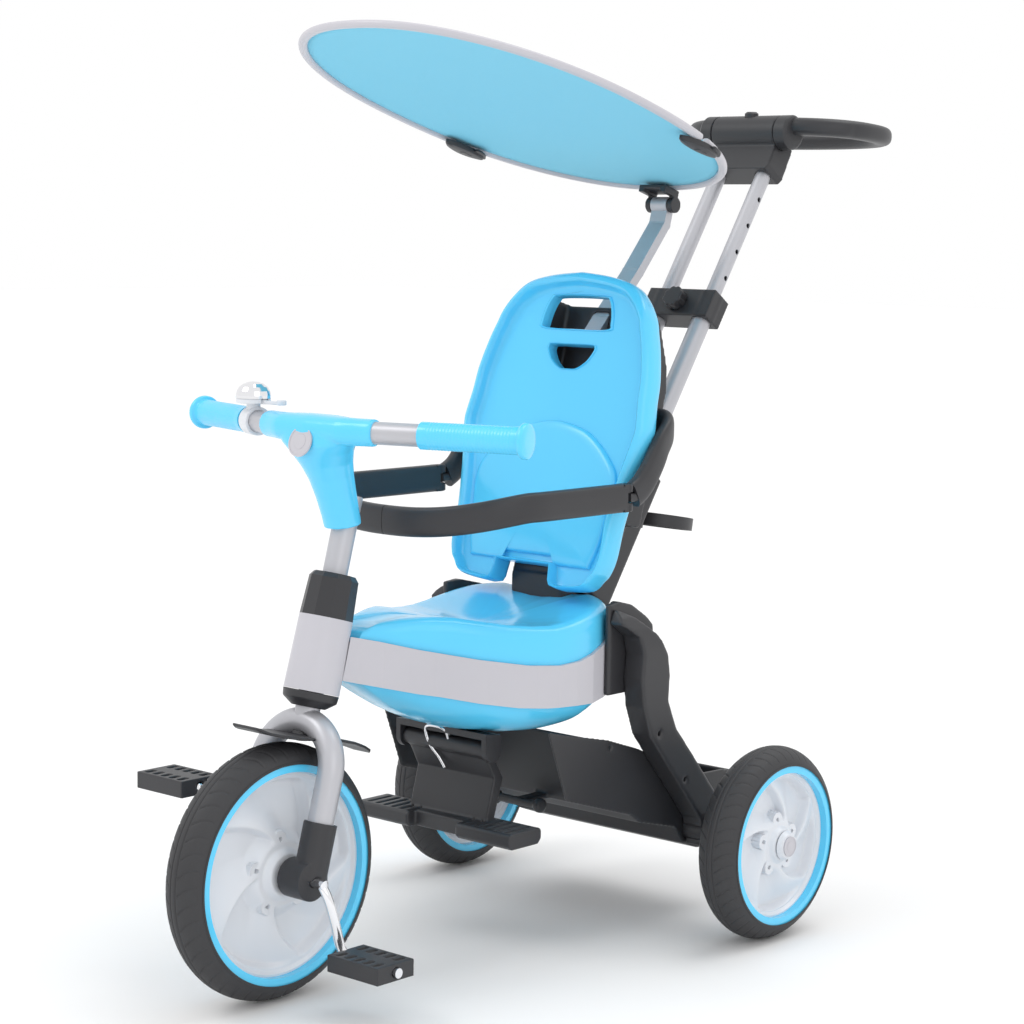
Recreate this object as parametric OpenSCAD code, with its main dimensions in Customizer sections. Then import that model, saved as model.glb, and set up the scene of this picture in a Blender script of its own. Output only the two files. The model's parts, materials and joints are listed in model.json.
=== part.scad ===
// Children's tricycle with a parent push handle, sun canopy, guard rail and folding footrest.
// Millimetres. The child faces -Y, +X is the child's left and the wheels stand on z = 0.
// The origin is on the ground under the middle of the whole tricycle.

/* [View] */
// which piece to draw, or all of them

/* [Wheels] */
// outside diameter of the front tyre
front_wheel_d = 254; // [200:1:320]
// outside diameter of the rear tyres
rear_wheel_d = 208; // [160:1:280]
// width of every tyre
tyre_w = 51; // [36:1:64]
// distance from the front axle back to the rear axle
wheelbase = 515; // [440:1:620]
// distance between the middles of the rear tyres
rear_track = 445; // [410:1:520]
// depth of the tyre section from tread to rim
tyre_depth = 22; // [16:1:30]
// height of the coloured rim flange that shows beside the tyre
rim_flange = 5; // [3:0.5:8]
// number of curved spokes moulded into each wheel disc
spokes = 5; // [3:1:9]
// diameter of the wheel axles
axle_d = 10; // [8:0.5:14]

/* [Cranks and pedals] */
// distance from the front axle to a pedal spindle
crank_len = 75; // [60:1:95]
// angle of the left crank behind straight down
crank_angle = 13.5; // [0:0.5:90]
// width of a pedal across the tricycle
pedal_w = 68; // [55:1:90]
// length of a pedal along the tricycle
pedal_l = 49; // [36:1:70]
// thickness of a pedal
pedal_t = 17; // [12:1:24]

/* [Fork and steering] */
// lean of the steering axis back from upright
rake = 15.4; // [5:0.1:25]
// diameter of the fork tube
fork_d = 26; // [20:1:32]
// half the distance between the two fork legs
fork_half = 48; // [40:1:60]
// diameter of the steerer tube
steerer_d = 25; // [18:1:30]
// diameter of the head tube at its lower end
head_d = 56; // [44:1:70]
// length of the head tube
head_len = 74; // [50:1:100]
// length of the faceted collar above the head tube
collar_len = 44; // [25:1:60]

/* [Handlebar] */
// height of the handlebar above the ground
bar_z = 557; // [480:1:640]
// overall width over the grips
bar_w = 456; // [380:2:520]
// sweep of the bar ends back from straight across
bar_sweep = 17; // [0:1:30]
// diameter of the handlebar tube
bar_d = 22; // [18:0.5:28]
// diameter of the soft grips
grip_d = 27.5; // [24:0.5:36]
// length of each grip
grip_len = 103; // [80:1:125]
// diameter of the bell dome
bell_d = 36; // [28:1:50]

/* [Seat and body] */
// widest width of the band round the body
body_w = 234; // [190:2:280]
// thickness of the band round the body
band_t = 4; // [2.5:0.5:6]
// wall of the moulded shells
wall = 3; // [2:0.25:4]
// height of the seat rim above the band
seat_rise = 38; // [24:1:50]

/* [Backrest] */
// lean of the backrest back from upright
back_lean = 15.8; // [5:0.2:30]
// length of the backrest from the notch to its top
back_len = 323; // [260:1:380]
// widest width of the backrest
back_w = 256; // [210:2:300]
// depth of the side wings in front of the backrest
wing = 15; // [8:1:25]

/* [Guard rail] */
// height of the middle of the guard rail
rail_z = 478; // [440:1:520]
// width over the middle of the guard rail
rail_w = 266; // [250:2:320]
// height of the rail section
rail_h = 30; // [20:1:38]
// thickness of the rail section
rail_t = 14; // [10:1:20]

/* [Push handle] */
// lean of the push tubes back from upright
push_lean = 33.9; // [20:0.1:45]
// outside diameter of the lower push tubes
push_d = 22; // [18:0.5:28]
// outside diameter of the upper, sliding tubes
slide_d = 18; // [14:0.5:22]
// half the distance between the two push tubes
push_half = 32; // [26:1:42]
// width of the loop handle
loop_w = 250; // [200:2:320]
// length of the loop handle
loop_l = 180; // [140:2:240]

/* [Canopy] */
// width of the oval canopy
canopy_w = 368; // [300:2:440]
// length of the oval canopy along its slope
canopy_l = 528; // [420:2:600]
// slope of the canopy, front edge up
canopy_pitch = 16.2; // [0:0.2:30]
// thickness of the canopy hoop
hoop_d = 8; // [6:0.5:12]
// thickness of the stretched fabric
fabric_t = 1.2; // [0.8:0.1:3]

/* [Footrest] */
// width over the two foot pads
foot_w = 220; // [170:2:226]
// length of a foot pad
foot_l = 50; // [36:1:70]

/* [Fits] */
// radial play of a turning or sliding fit
run_fit = 0.05; // [0.02:0.01:0.1]
// gap between pieces that pass each other
air = 0.4; // [0.3:0.1:1]
// play of a piece pushed on and held
push_fit = 0.02; // [0:0.01:0.05]

/* [Hidden] */
$fn = 96;

// colours of the materials
sky = [0.35, 0.8, 1];
pale = [0.93, 0.94, 0.95];
silver = [0.72, 0.72, 0.75];
black = [0.16, 0.16, 0.18];
band_grey = [0.77, 0.76, 0.79];
chrome = [0.85, 0.85, 0.87];

// overall layout; everything is drawn from the front axle and moved back to the middle
front_r = front_wheel_d/2;
rear_r = rear_wheel_d/2;
loop_y = 836;
rear_most = loop_y + loop_l/2*cos(4) + 14*sin(4);
mid_y = (rear_most - front_r)/2;
rear_x = rear_track/2;

// steering axis, through the lower end of the head tube
steer_y = 50.1;
steer_z = 292.2;
axle_s = -(steer_z - front_r)/cos(rake) + 1;
fork_top = -71;
bar_y = 54;
bar_bend = 40;
grip_x = bar_w/2 - 4;

// push tubes, through the middle of the clamp
clamp_y = 636.5;
clamp_z = 665.5;
top_len = 183;
slide_range = 120;

// backrest, through the front of its lower edge
back_y = 375.5;
back_z = 395;

// canopy
hoop_y = 346.6;
hoop_z = 874.6;
split_y = 100;
pin_z = -8;

// half width of the body outline against distance back from the front axle
outline = [[62, 16], [70, 20], [95, 26], [120, 33], [145, 44], [170, 56], [195, 70], [220, 84],
  [245, 96], [270, 106], [295, 113.5], [320, 117], [345, 117], [365, 114], [385, 107], [400, 97],
  [412, 83], [421, 65], [427, 42], [430, 15]];
// height of the band's upper and lower edges against distance back
band_top = [[60, 357], [81, 352], [115, 344], [155, 333], [211, 320], [261, 311], [297, 308],
  [325, 310], [345, 315], [365, 322], [390, 329], [432, 334]];
band_low = [[60, 312], [115, 298], [155, 288], [175, 284], [212, 275], [250, 268], [282, 265],
  [344, 263], [370, 267], [400, 274], [432, 280]];
// height of the seat rim against distance back
seat_top = [[88, 352], [95, 358], [105, 361], [125, 363], [160, 364], [185, 362.5], [215, 357],
  [245, 352], [275, 349], [300, 348], [325, 350], [350, 354], [375, 359], [400, 364], [415, 366],
  [424, 362], [430, 352]];
// height of the belly's underside against distance back
belly_low = [[84, 300], [100, 287], [120, 277], [154, 263], [180, 254], [205, 246], [232, 238],
  [268, 233], [305, 232], [340, 234], [362, 240], [385, 250], [400, 262], [408, 276]];
body_k = body_w/234;

function mirror_x(p) = concat([for (q = p) [q[1], q[0]]],
  [for (i = [len(p) - 1:-1:0]) [-p[i][1], p[i][0]]]);
function plan(inset) = mirror_x([for (q = outline) [q[0] - (q[0] > 350 ? inset*(q[0] - 350)/80 : 0),
  max(q[1]*body_k - inset, 1)]]);
function between(low, high) = concat(low, [for (i = [len(high) - 1:-1:0]) high[i]]);
function lifted(p, d) = [for (q = p) [q[0], q[1] + d]];
function oval(a, b, n, e) = [for (i = [0:n - 1]) let (t = 360*i/n, c = cos(t), s = sin(t))
  [a*sign(c)*pow(abs(c), 2/e), b*sign(s)*pow(abs(s), 2/e)]];

// moves a drawing made from the front axle to the middle of the tricycle
module place() {
  translate([0, -mid_y, 0])
    children();
}

// a profile of [y, z] points pushed out sideways, w wide and centred
module side(p, w) {
  rotate([90, 0, 90])
    translate([0, 0, -w/2])
      linear_extrude(w)
        polygon(p);
}

// a profile of [x, z] points pushed out along the tricycle
module front(p, y0, y1) {
  translate([0, y1, 0])
    rotate([90, 0, 0])
      linear_extrude(y1 - y0)
        polygon(p);
}

// a rod of diameter d from a to b
module rod(a, b, d) {
  v = b - a;
  l = norm(v);
  translate(a)
    rotate([0, acos(v[2]/l), atan2(v[1], v[0])])
      cylinder(d = d, h = l);
}

// a rod through a list of points with rounded corners
module bent(p, d) {
  for (i = [0:len(p) - 2])
    rod(p[i], p[i + 1], d);
  for (i = [1:len(p) - 2])
    translate(p[i])
      sphere(d = d*1.04);
}

// draws in the steering frame, z up the steering axis
module steered() {
  translate([0, steer_y, steer_z])
    rotate([-rake, 0, 0])
      children();
}

// draws in the frame of the push tubes, z up the tubes
module pushed() {
  translate([0, clamp_y, clamp_z])
    rotate([-push_lean, 0, 0])
      children();
}

// draws in the backrest frame, z up the backrest and y out of its back
module reclined() {
  translate([0, back_y, back_z])
    rotate([-back_lean, 0, 0])
      children();
}

// draws in the canopy frame, z out of its top
module canopied() {
  translate([0, hoop_y, hoop_z])
    rotate([-canopy_pitch, 0, 0])
      children();
}

// turns a drawing with its axis up so that the axis runs across the tricycle
module across() {
  rotate([0, 90, 0])
    children();
}

// one tyre, its axis up: rounded tread on a flat seat, cut back beside the rim flanges
module tyre(r) {
  crown = tyre_w*0.52;
  seat_r = r - tyre_depth;
  rotate_extrude()
    difference() {
      intersection() {
        translate([r - crown, 0])
          circle(r = crown);
        translate([seat_r, -tyre_w/2])
          square([tyre_depth + 1, tyre_w]);
      }
      for (s = [-1, 1])
        translate([seat_r - 1, s > 0 ? tyre_w/2 - 5 : -tyre_w/2 - 5])
          square([rim_flange + 1.2, 10]);
    }
}

// one rim: a barrel under the tyre with a flange each side
module rim(r) {
  seat_r = r - tyre_depth;
  flange_z = tyre_w/2 - 5;
  rotate_extrude()
    polygon([[seat_r - 4, -flange_z - 2.8], [seat_r + rim_flange, -flange_z - 2.8],
      [seat_r + rim_flange, -flange_z - push_fit], [seat_r - push_fit, -flange_z - push_fit],
      [seat_r - push_fit, flange_z + push_fit], [seat_r + rim_flange, flange_z + push_fit],
      [seat_r + rim_flange, flange_z + 2.8], [seat_r - 4, flange_z + 2.8]]);
}

// one wheel disc with dished faces, swept spokes and a bore for the axle
module disc(r, bore, hub_w) {
  out = r - tyre_depth - 4 - push_fit;
  half = tyre_w/2 - 6;
  difference() {
    union() {
      rotate_extrude()
        polygon([[bore/2, -hub_w/2], [r*0.16, -hub_w/2], [r*0.2, -half], [r*0.26, -8], [out - 10, -8],
          [out - 6, -half], [out, -half], [out, half], [out - 6, half], [out - 10, 8],
          [r*0.26, 8], [r*0.2, half], [r*0.16, hub_w/2], [bore/2, hub_w/2]]);
      for (i = [0:spokes - 1])
        rotate(i*360/spokes)
          translate([0, 0, -half + 3])
            linear_extrude(2*half - 6)
              intersection() {
                circle(r = out - 4);
                difference() {
                  translate([out*0.5, -out*0.62])
                    circle(r = out*0.86);
                  translate([out*0.5, -out*0.78])
                    circle(r = out*0.86);
                  translate([-2*out, -2*out])
                    square([2*out, 4*out]);
                }
              }
    }
    translate([0, 0, -50])
      cylinder(d = bore, h = 100);
    for (i = [0:spokes - 1])
      rotate(i*360/spokes + 24)
        translate([r*0.31, 0, -50])
          cylinder(d = 5, h = 100);
  }
}

module at_front() {
  place()
    translate([0, 0, front_r])
      across()
        children();
}

module at_rear(s) {
  place()
    translate([s*rear_x, wheelbase, rear_r])
      rotate([0, s*90, 0])
        children();
}

module front_tyre() {
  color(black)
    at_front()
      tyre(front_r);
}

module front_rim() {
  color(sky)
    at_front()
      rim(front_r);
}

module front_disc() {
  color(pale)
    at_front()
      disc(front_r, axle_d + 2*push_fit, 46);
}

// the pedal end of one crank: side 1 left, -1 right
crank_y = crank_len*sin(crank_angle);
crank_z = -crank_len*cos(crank_angle);
pedal_x = 84;

module crank() {
  color(chrome)
    place()
      translate([0, 0, front_r])
        union() {
          rod([-69, 0, 0], [69, 0, 0], axle_d);
          for (s = [-1, 1]) {
            translate([s*70, 0, 0])
              sphere(d = axle_d + 1.6);
            rod([s*70, 0, 0], [s*(pedal_x - 4), s*crank_y, s*crank_z], axle_d - 0.8);
            translate([s*(pedal_x - 4), s*crank_y, s*crank_z])
              sphere(d = axle_d + 1.6);
            rod([s*(pedal_x - 4), s*crank_y, s*crank_z], [s*(pedal_x + pedal_w + 4), s*crank_y, s*crank_z],
              axle_d);
          }
        }
}

module pedal() {
  difference() {
    translate([-pedal_w/2, -pedal_l/2, -pedal_t/2])
      cube([pedal_w, pedal_l, pedal_t]);
    translate([-pedal_w, 0, 0])
      across()
        cylinder(d = axle_d + 2*run_fit, h = 2*pedal_w);
    for (s = [-1, 1])
      for (i = [-2:2])
        translate([i*pedal_w/5.6 - 3, s > 0 ? 8 : -pedal_l/2 + 4, pedal_t/2 - 3])
          cube([6, pedal_l/2 - 12, 4]);
  }
}

module pedal_left() {
  color(black)
    place()
      translate([pedal_x + pedal_w/2 + 1, crank_y, front_r + crank_z])
        pedal();
}

module pedal_right() {
  color(black)
    place()
      translate([-pedal_x - pedal_w/2 - 1, -crank_y, front_r - crank_z])
        pedal();
}

module rear_tyre(s) {
  color(black)
    at_rear(s)
      tyre(rear_r);
}

module rear_rim(s) {
  color(sky)
    at_rear(s)
      rim(rear_r);
}

module rear_disc(s) {
  color(pale)
    at_rear(s)
      disc(rear_r, axle_d + 2*run_fit, 48);
}

// hub cap: a shallow dome that covers the axle end and clips on the hub
module rear_cap(s) {
  color(pale)
    at_rear(s)
      translate([0, 0, 24])
        difference() {
          cylinder(d1 = 32, d2 = 26, h = 5);
          translate([0, 0, -1])
            cylinder(d = 18, h = 3.5);
        }
}

module rear_tyre_left() {
  rear_tyre(1);
}

module rear_rim_left() {
  rear_rim(1);
}

module rear_disc_left() {
  rear_disc(1);
}

module rear_cap_left() {
  rear_cap(1);
}

module rear_tyre_right() {
  rear_tyre(-1);
}

module rear_rim_right() {
  rear_rim(-1);
}

module rear_disc_right() {
  rear_disc(-1);
}

module rear_cap_right() {
  rear_cap(-1);
}

// the arch and legs of the fork, without the steerer
module fork_shape(d) {
  translate([0, 0, fork_top])
    rotate([90, 0, 0])
      rotate_extrude(angle = 180)
        translate([fork_half, 0])
          circle(d = d);
  for (s = [-1, 1])
    translate([s*fork_half, 0, axle_s + 34])
      cylinder(d = d, h = fork_top - axle_s - 34 + 0.02);
}

module fork() {
  color(silver)
    place()
      steered()
        difference() {
          union() {
            fork_shape(fork_d);
            translate([0, 0, fork_top + fork_half])
              cylinder(d = steerer_d, h = 175 + 28 - fork_top - fork_half);
          }
          translate([0, 0, 60])
            cylinder(d = steerer_d - 5, h = 200);
        }
}

// black feet of the fork: a socket for the leg and a bearing for the crank axle
module axle_housings() {
  color(black)
    place()
      difference() {
        union() {
          steered()
            for (s = [-1, 1])
              translate([s*fork_half, 0, axle_s - 2])
                cylinder(d = fork_d + 7, h = 56);
          for (s = [-1, 1])
            translate([s*(fork_half - 5), 0, front_r])
              rotate([0, 90, 0])
                cylinder(d = 39, h = 31, center = true);
        }
        steered()
          for (s = [-1, 1])
            translate([s*fork_half, 0, axle_s + 34 - push_fit])
              cylinder(d = fork_d + 2*push_fit, h = 60);
        translate([-100, 0, front_r])
          across()
            cylinder(d = axle_d + 2*run_fit, h = 200);
      }
}

// short mudguard under the fork crown, with a raised front lip
module fender() {
  top = [[-36, 277], [-24, 271], [-8, 266.5], [12, 262], [30, 259], [60, 254], [85, 247], [105, 239],
    [123, 230]];
  color(black)
    place()
      difference() {
        union() {
          intersection() {
            side(between(top, lifted(top, -3)), 90);
            translate([0, 0, 200])
              linear_extrude(100)
                polygon([[-14, -40], [14, -40], [24, -28], [31, -6], [33, 20], [32, 60], [28, 95], [20, 115],
                  [10, 124], [-10, 124], [-20, 115], [-28, 95], [-32, 60], [-33, 20], [-31, -6], [-24, -28]]);
          }
          translate([0, 44, 252])
            cylinder(d = 26, h = 10);
        }
        steered()
          fork_shape(fork_d + 2*push_fit);
      }
}

// conical cap under the head tube, turning with the fork
module lower_collar() {
  color(black)
    place()
      steered()
        difference() {
          rotate_extrude()
            polygon([[steerer_d/2 + push_fit, -9.5], [head_d*0.3, -9.5], [head_d/2 - 1, -2], [head_d/2, 5.6],
              [steerer_d/2 + push_fit, 5.6]]);
          fork_shape(fork_d + 2*push_fit);
        }
}

module head_tube() {
  color(band_grey)
    place()
      steered()
        translate([0, 0, 6])
          difference() {
            cylinder(d1 = head_d, d2 = head_d - 2.4, h = head_len);
            translate([0, 0, -1])
              cylinder(d = steerer_d + 2*run_fit, h = head_len + 2);
          }
}

// faceted collar on top of the head tube
module upper_collar() {
  color(black)
    place()
      steered()
        translate([0, 0, 6 + head_len])
          difference() {
            union() {
              cylinder(d1 = head_d - 2, d2 = head_d - 6, h = collar_len - 5, $fn = 10);
              translate([0, 0, collar_len - 5])
                cylinder(d1 = head_d - 6, d2 = head_d - 14, h = 5, $fn = 10);
            }
            translate([0, 0, -1])
              cylinder(d = steerer_d + 2*run_fit, h = collar_len + 2);
          }
}

// middle line of one half of the handlebar, from the middle out to x
function bar_at(x) = [x, bar_y + max(abs(x) - bar_bend, 0)*tan(bar_sweep), bar_z];

module bar_rod(x, d) {
  bent([bar_at(-x), bar_at(-bar_bend), bar_at(bar_bend), bar_at(x)], d);
}

module handlebar() {
  color(silver)
    place()
      bar_rod(grip_x - 2, bar_d);
}

module grips() {
  color(sky)
    place()
      difference() {
        for (s = [-1, 1]) {
          rod(bar_at(s*(grip_x - grip_len)), bar_at(s*grip_x), grip_d);
          rod(bar_at(s*(grip_x - 4)), bar_at(s*(grip_x + 4)), grip_d + 7);
        }
        for (s = [-1, 1])
          rod(bar_at(s*bar_bend), bar_at(s*(grip_x - 2)), bar_d + 2*push_fit);
      }
}

// moulded cover where the stem meets the bar
module handlebar_cover() {
  color(sky)
    place()
      difference() {
        union() {
          intersection() {
            front([[-18.5, 458], [18.5, 458], [19, 490], [21, 508], [26, 522], [36, 533], [52, 541],
              [73, 545], [73, 570], [30, 572], [-30, 572], [-73, 570], [-73, 545], [-52, 541],
              [-36, 533], [-26, 522], [-21, 508], [-19, 490]], 10, 130);
            side([[76, 458], [112, 468], [106, 490], [99, 515], [90, 538], [80, 556], [70, 568], [56, 573],
              [44, 570], [38, 558], [37, 544], [42, 528], [52, 508], [62, 488]], 200);
          }
          bar_rod(73.5, bar_d + 5);
        }
        bar_rod(100, bar_d + 2*push_fit);
        steered()
          translate([0, 0, 100])
            cylinder(d = steerer_d + 2*push_fit, h = 175 + 28 - 100 + 1);
      }
}

bell_x = -108;
bell_y = bar_at(bell_x)[1] - 2;

module bell_base() {
  color(pale)
    place()
      difference() {
        union() {
          rod(bar_at(bell_x - 8), bar_at(bell_x + 8), bar_d + 7);
          translate([bell_x, bell_y, bar_z + 8])
            cylinder(d = 14, h = 13);
          translate([bell_x, bell_y, bar_z + 18])
            cylinder(d = bell_d - 1, h = 5);
          translate([bell_x, bell_y, bar_z + 23 - push_fit])
            cylinder(d = 8, h = 2);
        }
        rod(bar_at(bell_x - 15), bar_at(bell_x + 15), bar_d + 2*push_fit);
        translate([bell_x + bell_d/2 - 3, bell_y, bar_z + 20])
          cylinder(d = 9, h = 6, center = true);
      }
}

module bell_dome() {
  color(chrome)
    place()
      translate([bell_x, bell_y, bar_z + 23.05])
        difference() {
          scale(bell_d/36)
            rotate_extrude()
              polygon([[4.1, 0], [18, 0], [18, 3], [17, 7.5], [14.5, 11.5], [10.5, 14.5], [5.5, 16.4], [0, 17],
                [0, 2], [4.1, 2]]);
        }
}

// thumb lever of the bell, turning on a short upright pin
module bell_lever() {
  color(pale)
    place()
      translate([bell_x + bell_d/2 - 3, bell_y, bar_z + 20]) {
        translate([0, 0, -2.4])
          cylinder(d = 6.6, h = 4.8);
        translate([0, -3, -2])
          cube([26, 6, 3.4]);
        translate([26, 0, -2])
          cylinder(d = 10, h = 5);
      }
}

module steerer_room() {
  steered()
    translate([0, 0, -20])
      cylinder(d = head_d + 2*push_fit, h = 120);
}

// grey band that runs round the body from the head tube
module frame_band() {
  color(band_grey)
    place()
      difference() {
        intersection() {
          translate([0, 0, 230])
            linear_extrude(150)
              difference() {
                polygon(plan(0));
                polygon(plan(band_t));
              }
          side(between(band_low, band_top), 300);
        }
        steerer_room();
      }
}

// blue tray under the band, hollow, with a flat floor under the seat
module belly_shell() {
  low = belly_low;
  color(sky)
    place()
      difference() {
        intersection() {
          translate([0, 0, 225])
            linear_extrude(100)
              polygon(plan(band_t + 0.1));
          side(concat(low, [[410, 290], [380, 288], [280, 282], [210, 292], [140, 306], [90, 318],
            [84, 318]]), 300);
          front([[-116, 322], [-114, 278], [-108, 262], [-94, 248], [-72, 238], [-40, 233], [0, 231.5],
            [40, 233], [72, 238], [94, 248], [108, 262], [114, 278], [116, 322]], 60, 440);
        }
        intersection() {
          translate([0, 0, 225])
            linear_extrude(100)
              polygon(plan(band_t + wall));
          side(concat(lifted(low, wall), [[408, 330], [90, 330]]), 300);
          front([[-113, 332], [-111, 280], [-105, 265], [-92, 251], [-71, 241], [-40, 236], [0, 234.5],
            [40, 236], [71, 241], [92, 251], [105, 265], [111, 280], [113, 332]], 60, 440);
        }
        steerer_room();
        rod([0, 60, 318], [0, 440, 284.7], 22 + 2*push_fit);
      }
}

// inner steel tube that carries the seat, from the head tube to the rear bridge
module spine_tube() {
  color(silver)
    place()
      difference() {
        rod([0, 70, 317], [0, 425, 286], 22);
        steerer_room();
        rod([0, 60, 318], [0, 440, 284.7], 18);
      }
}

// saddle: rounded in three steps at its rim, dished in the middle
module seat() {
  low = lifted(band_top, -3);
  k = seat_rise - 38;
  color(sky)
    place()
      difference() {
        union() {
          intersection() {
            translate([0, 0, 280])
              linear_extrude(120)
                polygon(plan(band_t + 0.1));
            side(between([for (q = low) if (q[0] > 85 && q[0] < 431) q], lifted(seat_top, k - 9)), 300);
          }
          intersection() {
            translate([0, 0, 280])
              linear_extrude(120)
                polygon(plan(band_t + 2.5));
            side(between([for (q = low) if (q[0] > 85 && q[0] < 431) q], lifted(seat_top, k - 4)), 300);
          }
          intersection() {
            translate([0, 0, 280])
              linear_extrude(120)
                polygon(plan(band_t + 7));
            side(between([for (q = low) if (q[0] > 85 && q[0] < 431) q], lifted(seat_top, k)), 300);
          }
        }
        intersection() {
          translate([0, 0, 280])
            linear_extrude(120)
              polygon(plan(band_t + wall + 1.6));
          side(between([for (q = lifted(band_top, -6)) if (q[0] > 130 && q[0] < 410) q],
            [for (q = lifted(seat_top, k - 13)) if (q[0] > 130 && q[0] < 410) q]), 300);
        }
        steered()
          translate([0, 0, -20])
            cylinder(d = head_d + 3, h = 200);
        neck_room();
        rod([0, 70, 317], [0, 440, 284.7], 22.2);
      }
}

// the room for the black neck between seat and backrest
module neck_room() {
  translate([-36.1, 385.9, 300])
    cube([72.2, 60, 95.5]);
}

// black cross piece behind the seat: neck, shoulders and the seat of the push tubes
module rear_bridge() {
  color(black)
    place()
      difference() {
        union() {
          difference() {
            intersection() {
              translate([0, 0, 200])
                linear_extrude(200)
                  polygon([[-120, 366], [120, 366], [120, 440], [96, 462], [-96, 462], [-120, 440]]);
              side([[340, 352], [364, 364], [385, 366], [405, 361], [430, 346], [452, 326], [464, 300],
                [464, 268], [380, 268], [340, 268]], 300);
            }
            translate([0, 0, 150])
              linear_extrude(300)
                polygon(plan(-0.2));
          }
          translate([-36, 386, 300])
            cube([72, 25, 94]);
          translate([-36, 405, 300])
            cube([72, 40, 50]);
        }
        side([[380, 394], [388, 380], [390, 394.5]], 100);
        for (s = [-1, 1])
          pushed()
            translate([s*push_half, 0, -380])
              cylinder(d = push_d + 2*push_fit, h = 500);
        rod([0, 60, 318], [0, 425.2, 286], 22 + 2*push_fit);
        translate([-34, 380, 260])
          cube([68, 30, 40]);
        frame_cut();
        column_room();
      }
}

// room for the rear of the band and of the belly under it
module frame_cut() {
  translate([0, 0, 230])
    linear_extrude(106)
      difference() {
        polygon(plan(-0.1));
        polygon(plan(band_t + 0.1));
      }
  translate([0, 0, 230])
    linear_extrude(64)
      polygon(plan(-0.1));
}

// the space of the column that holds the push tubes, a little large
module column_room(grow = 0.1) {
  pushed()
    translate([-50 - grow, -24 - grow, -380])
      cube([100 + 2*grow, 48 + 2*grow, 170 + grow]);
}

// black column that holds the feet of the push tubes, and carries the backrest
module rear_column() {
  color(black)
    place()
      difference() {
        intersection() {
          pushed()
            translate([-50, -24, -372])
              cube([100, 48, 162]);
          side([[330, 330], [700, 330], [700, 600], [330, 600]], 300);
        }
        pushed()
          for (s = [-1, 1])
            translate([s*push_half, 0, -400])
              cylinder(d = push_d + 2*push_fit, h = 500);
        bridge_block();
      }
}

// the block of the bridge that the column stands on
module bridge_block() {
  intersection() {
    translate([0, 0, 200])
      linear_extrude(200)
        polygon([[-120, 300], [120, 300], [120, 440], [96, 462], [-96, 462], [-120, 440]]);
    side([[340, 352], [364, 364], [385, 366], [405, 361], [430, 346], [452, 326], [464, 300],
      [464, 268], [340, 268]], 300);
  }
  translate([-36.1, 380, 300])
    cube([72.2, 31.1, 94.1]);
  translate([-36.1, 404, 300])
    cube([72.2, 41.1, 50.1]);
}

// the two swept rear legs
module rear_legs() {
  color(black)
    place()
      difference() {
        intersection() {
          side([[372, 360], [392, 350], [420, 329], [434, 308], [438, 285], [436, 258], [451, 226],
            [487, 186], [522, 146], [534, 122], [534, 92], [505, 86], [497, 118], [470, 150],
            [437, 187], [407, 222], [394, 255], [390, 285], [393, 310], [388, 330], [366, 345]], 300);
          union() {
            for (s = [0, 1])
              mirror([s, 0, 0])
                front([[120.1, 80], [147, 80], [147, 320], [143, 338], [134, 352], [120.1, 362]], 340, 560);
          }
        }
        axle_room();
        for (h = [[414, 224], [460, 167], [511, 111.5]])
          translate([-200, h[0] + 8, h[1]])
            across()
              cylinder(d = 6, h = 400);
      }
}

module axle_room() {
  translate([-300, wheelbase, rear_r])
    across()
      cylinder(d = 30 + 2*push_fit, h = 600);
}

// lower chassis: side plates from the belly back to the axle, with the basket between them
module rear_tub() {
  sides = [[272, 243], [302, 166], [410, 133], [426, 122], [486, 107], [499, 87], [530, 76], [600, 84],
    [608, 150], [572, 158], [530, 160], [417, 205], [368, 221], [300, 236]];
  inner = [[405, 260], [405, 140], [428, 128], [487, 121], [597, 121], [604, 260]];
  color(black)
    place()
      difference() {
        union() {
          for (s = [0, 1])
            mirror([s, 0, 0])
              translate([118.4, 0, 0])
                side(sides, 3);
          intersection() {
            side(sides, 236);
            side([[402, 300], [402, 60], [620, 60], [620, 300]], 240);
          }
          rod([-36, 362, 137], [36, 362, 137], 9);
          for (s = [-1, 1])
            rod([s*28, 362, 137], [s*36, 362, 137], 16);
          translate([-8, 358, 134])
            cube([16, 50, 6]);
        }
        intersection() {
          side(inner, 230);
          translate([-115, 300, 60])
            cube([230, 400, 300]);
        }
        translate([-113, 405, 60])
          cube([226, 84, 40]);
        axle_room();
        translate([-200, 372, 212])
          across()
            cylinder(d = 5, h = 400);
      }
}

// tube round the rear axle, between the wheels
module axle_beam() {
  color(black)
    place()
      translate([-rear_x + 26.4, wheelbase, rear_r])
        across()
          difference() {
            cylinder(d = 30, h = 2*rear_x - 52.8);
            translate([0, 0, -1])
              cylinder(d = axle_d + 2*push_fit, h = 600);
          }
}

module rear_axle() {
  color(chrome)
    place()
      translate([-rear_x - 26, wheelbase, rear_r])
        across()
          cylinder(d = axle_d, h = 2*rear_x + 52);
}

// half width of the backrest against distance up it
back_side = [[-24, 52], [-20, 86], [-8, 99], [0, 105], [18, 110], [55, 112], [99, 118], [128, 124],
  [150, 128], [164, 127], [185, 124], [210, 122], [241, 115], [262, 108], [278, 102], [296, 89],
  [311, 70], [319, 39], [323, 12]];
back_kw = back_w/256;
back_kl = back_len/323;

function back_half(inset) = [for (q = back_side) [max(q[1]*back_kw - inset, 2),
  q[0]*back_kl*(q[0] < 0 ? 1 - inset/28 : 1) - (q[0] > 290 ? inset*(q[0] - 290)/33 : 0)]];
function back_plan(inset) = concat(back_half(inset),
  [for (i = [len(back_side) - 1:-1:0]) [-back_half(inset)[i][0], back_half(inset)[i][1]]]);

// draws a profile of the backrest from y0 back to y1
module panel(p, y0, y1) {
  translate([0, y1, 0])
    rotate([90, 0, 0])
      linear_extrude(y1 - y0)
        polygon(p);
}

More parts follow.
